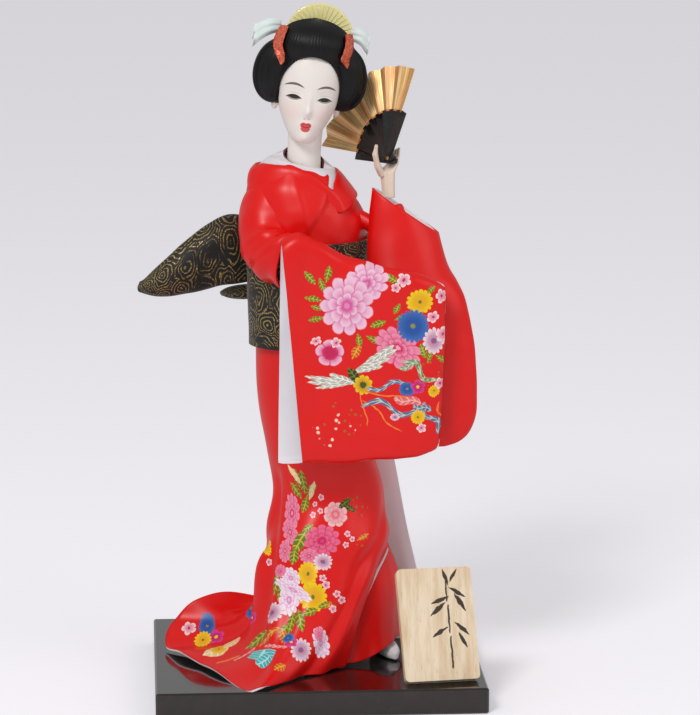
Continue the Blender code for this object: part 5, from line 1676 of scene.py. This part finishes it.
MINT = plain_cloth("mint ribbon", rgb(250, 253, 251), rgb(216, 234, 228))
GLITTER = new_finish("red glitter", rgb(225, 40, 30), 0.3, Metallic=0.15)
# The glitter's cells are painted from deep red to pale orange. The pale ones are painted glints: flakes drawn as if
# they caught the light.
glint_cells = linked("ShaderNodeTexVoronoi", {"Vector": object_place(GLITTER), "Scale": 2600.0})
painted_glint = linked("ShaderNodeSeparateColor", {0: glint_cells.outputs["Color"]}).outputs[0]
link_in(GLITTER, mixed(painted_glint, rgb(190, 16, 16), rgb(255, 150, 110)), "Base Color")
# Root, tip and half height of each folded loop, in the head's own frame
LOOPS = {
    "left": (((-16.0, 27.2), (-27.9, 22.0), 2.9), ((-16.4, 25.0), (-27.4, 18.2), 2.5)),
    "right": (((16.2, 27.2), (25.2, 24.2), 2.5), ((16.6, 25.0), (25.0, 20.8), 2.2)),
}


def loop_rows(root, tip, half, y):
    def spot(a, v):
        share = (1 - cos(a)) / 2
        x, z = (root[k] + (tip[k] - root[k]) * share for k in (0, 1))
        z += 1.6 * sin(pi * share) + half * (2 * v - 1) * (0.55 + 0.6 * share)
        fold = 2.2 * sin(a) * sin(pi * min(1, share + 0.1)) ** 0.6 - 0.5 * cos(pi * (2 * v - 1))
        return head_frame @ Vector((x, y + fold, z))

    return tube(8, 48, spot)


for side, loops in LOOPS.items():
    parts = []
    for k, (root, tip, half) in enumerate(loops):
        rows = loop_rows(root, tip, half, COMB_PLACE[1] - 0.5 - 1.2 * k)
        parts.append(cloth(f"{side} loop {k + 1}", rows, 0.5, MINT, ring=True, finer=False))
    worn(joined(f"{side}_folded_loops", parts), f"{side}_ribbon_loop", slot="pale_ribbon")

# Across, up and half width of each glitter strip, from its top to its point
STRIPS = {
    "left": (
        (-15.0, 28.0, 1.5), (-16.6, 23.5, 1.8), (-17.0, 19.5, 1.9), (-15.6, 15.5, 2.0), (-14.4, 12.6, 1.2),
        (-14.6, 11.0, 0.2),
    ),
    "right": (
        (14.4, 28.0, 1.7), (14.8, 24.0, 1.9), (14.4, 20.0, 2.0), (13.7, 17.0, 2.0), (14.6, 14.8, 1.2),
        (15.2, 13.2, 0.2),
    ),
}


def front_of_wig(x, z):
    fronts = []
    for centre, half_sizes in WIG_ROLLS.values():
        room = 1 - ((x - centre[0]) / half_sizes[0]) ** 2 - ((z - centre[2]) / half_sizes[2]) ** 2
        fronts.append(centre[1] - half_sizes[1] * sqrt(max(0.0, room)))
    return min(fronts)


for side, rows in STRIPS.items():
    grid = []
    for j in range(25):
        x, z, half = through(rows, j / 24)
        grid.append([head_frame @ Vector((x + half * s, front_of_wig(x + half * s, z) - 1.6, z))
                     for s in (-1, -0.6, -0.2, 0.2, 0.6, 1)])
    strip = cloth(f"{side}_glitter_strip", grid, 0.5, GLITTER, finer=False)
    strip = grown(strip, SCATTERED, Density=9.0e6, Size=0.00028, Seed=7, Finish=GLITTER)
    worn(strip, f"{side}_glitter_ribbon", slot="red_glitter")

# %% [markdown]
# ## Fan and hand
#
# The leaf of the fan is pleated gold foil, sharp at every fold. Its rows follow the spokes. The black
# sticks lie one behind another as in the solid model. The hand, arms and feet are finer copies of the
# solid ones: one skin remade over the joined shapes and smoothed, so that the fingers melt into the palm.

# %% Fan, hand and the small solid pieces
PIVOT = (34.4, -3.4, 232.4)
FAN_UP = (0.287, 0.0, 0.958)
FAN_SIDE = (-0.665, 0.72, 0.2)
FAN_SPREAD = 99.0
FAN_RADIUS = 42.0
STICK_COUNT = 9
STICK_LENGTH = 22.0
STICK_THICKNESS = 0.4
STICK_GAP = 0.15
PLEAT_INNER = 1.1
PLEAT_OUTER = 2.4
fan_up = Vector(FAN_UP).normalized()
fan_side = Vector(FAN_SIDE)
fan_side = (fan_side - fan_up * fan_side.dot(fan_up)).normalized()
fan_way = fan_up.cross(fan_side)
folds = 2 * (STICK_COUNT - 1)
leaf_start = STICK_LENGTH - 0.4


def leaf_spot(u, share):
    """A place on the pleated leaf, with its folds alternately before and behind the spokes."""
    reach = leaf_start + (FAN_RADIUS - leaf_start) * share
    turn = radians(FAN_SPREAD) * u
    up = abs(u * folds % 2 - 1) * 2 - 1
    lift = (PLEAT_INNER + (PLEAT_OUTER - PLEAT_INNER) * share) / 2 * up
    stack = (STICK_COUNT - 1) * (0.5 - u) * (STICK_THICKNESS + STICK_GAP) * leaf_start / reach
    spoke = fan_up * cos(turn) + fan_side * sin(turn)
    return above(*PIVOT) + spoke * (reach + 0.15 * up * share) + fan_way * (lift + stack)


fan = dressed("pleated_leaf", net(16, folds * 4, leaf_spot), 0.35, GOLD_LEAF, finer=False,
              solid="fan_leaf", slot="gold_foil", held="folded", rests_on=["leaning_sticks"])
fan.data.set_sharp_from_angle(angle=radians(12))


def tuck_fingers(hand):
    """Draws the fingers in behind the sticks, where the photograph shows no more than knuckles."""
    pivot = above(*PIVOT)
    for v in hand.data.vertices:
        right, up = v.co.x / MM - pivot.x - 1.0, v.co.z / MM - pivot.z
        if right > 0:
            v.co.x -= 0.5 * right * MM
            v.co.z -= 0.5 * max(0.0, up) * smooth(right, 0.0, 1.5) * MM


# The sticks lean a little round their own length, one over another like roof tiles
sticks = []
for k in range(STICK_COUNT):
    stick = copied(f"stick {k + 1}", f"fan_stick_{k + 1}", GLOSS_BLACK, rounded=0.12)
    turn = radians(FAN_SPREAD) * k / (STICK_COUNT - 1)
    middle = Matrix.Translation(above(*PIVOT) * MM)
    lean = Matrix.Rotation(radians(9 + 8 * (k % 3 - 1)), 4, fan_up * cos(turn) + fan_side * sin(turn))
    stick.data.transform(middle @ lean @ middle.inverted())
    sticks.append(stick)
sticks = joined("leaning_sticks", sticks)
worn(sticks, *[f"fan_stick_{k + 1}" for k in range(STICK_COUNT)], slot="black_plastic")

TOE_SHIFT = (4.0, -5.0, 0.0)
for name, solid, finish, grain, turns, slot in (
    ("smooth_left_hand", "left_hand", HAND, 0.3, 9, "moulded_skin"),
    ("smooth_right_hand", "right_hand", HAND, 0.4, 8, "moulded_skin"),
    ("padded_right_arm", "right_arm", PADDING, 0.8, 8, "padding"),
    ("left_tabi", "left_foot", LINING, 0.4, 14, "white_cloth"),
    ("right_tabi", "right_foot", LINING, 0.4, 14, "white_cloth"),
    ("stuffed_body", "body_form", PADDING, 1.2, 8, "padding"),
):
    part = copied(name, solid, finish, grain=grain, turns=turns)
    if solid == "left_hand":
        tuck_fingers(part)
    if solid == "left_foot":
        part.data.transform(Matrix.Translation(Vector(TOE_SHIFT) * MM))
    worn(part, solid, slot=slot)

# %% [markdown]
# The plaque on the real doll carries brushed lettering. Here it has a small ink sprig of bamboo
# instead, laid with the same leaf as the kimono's print.

# %% Plaque
MOTIFS["ink_leaf"] = [leaf(rgb(52, 42, 34), rgb(66, 54, 44), 1.6)]
MOTIFS["ink_cane"] = [leaf(rgb(60, 50, 40), rgb(74, 62, 50), 10.0)]
plaque = copied("grained_plaque", "wooden_plaque", WOOD, rounded=0.5)
INK = layout("""
ink_cane 452 652 1.1 17 4, 449 619 1 15 3, 446 590 0.9 12 4
ink_leaf 440 600 10 2.2 205, 438 609 11 2.4 225, 457 592 10 2.2 -30, 460 602 11 2.4 -55, 445 577 9 2 110
ink_leaf 440 632 10 2.2 215, 462 628 10 2.2 -40, 463 640 9 2 -60, 453 575 8 1.8 60
""")
ink_wood = wood_finish()
grain_colour = shader_of(ink_wood).inputs["Base Color"].links[0].from_socket
link_in(ink_wood, printed(ink_wood, grain_colour, prints_seen(plaque, INK)), "Base Color")
plaque.data.materials[0] = ink_wood
worn(plaque, "wooden_plaque", slot="pale_wood")
base = copied("lacquered_base", "base_board", LACQUER, rounded=0.6)
worn(base, "base_board", slot="black_lacquer")

# %% [markdown]
# ## Finishes on the solid pieces, the floor and the light

# %% Solid pieces
FINISHES = {"fan_rivet": BRASS, "left_leg_wire": STEEL, "right_leg_wire": STEEL}
for name, finish in FINISHES.items():
    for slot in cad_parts[name].material_slots:
        slot.material = finish

# %% Floor, light and the last lines
floor_mesh = bpy.data.meshes.new("floor")
floor_mesh.from_pydata([(-8, -5, 0), (8, -5, 0), (8, 12, 0), (-8, 12, 0)], [], [(0, 1, 2, 3)])
floor_finish = new_finish("pale floor", rgb(246, 244, 248), 0.9)
seen = node(floor_finish.node_tree, "ShaderNodeLightPath").outputs["Is Camera Ray"]
link_in(floor_finish, times(seen, 0.28), "Emission Strength")
shader_of(floor_finish).inputs["Emission Color"].default_value = rgb(240, 238, 246)
floor_mesh.materials.append(floor_finish)
floor = link("floor", floor_mesh)

world = bpy.data.worlds.new("studio")
scene.world = world
world.use_nodes = True
world.node_tree.nodes["Background"].inputs["Color"].default_value = (1.0, 1.0, 1.0, 1.0)
world.node_tree.nodes["Background"].inputs["Strength"].default_value = 0.44


LIT_SPOT = Vector((0, 0, 0.15))


def lamp(name, place, size, energy):
    data = bpy.data.lights.new(name, "AREA")
    data.shape = "SQUARE"
    data.size = size
    data.energy = energy
    item = bpy.data.objects.new(name, data)
    item.location = place
    item.rotation_euler = (LIT_SPOT - Vector(place)).to_track_quat("-Z", "Y").to_euler()
    scene.collection.objects.link(item)


lamp("soft key", (-0.7, -1.3, 1.5), 0.5, 15.0)
lamp("fill", (1.2, -0.9, 0.9), 0.9, 3.5)
scene.view_settings.view_transform = "Standard"
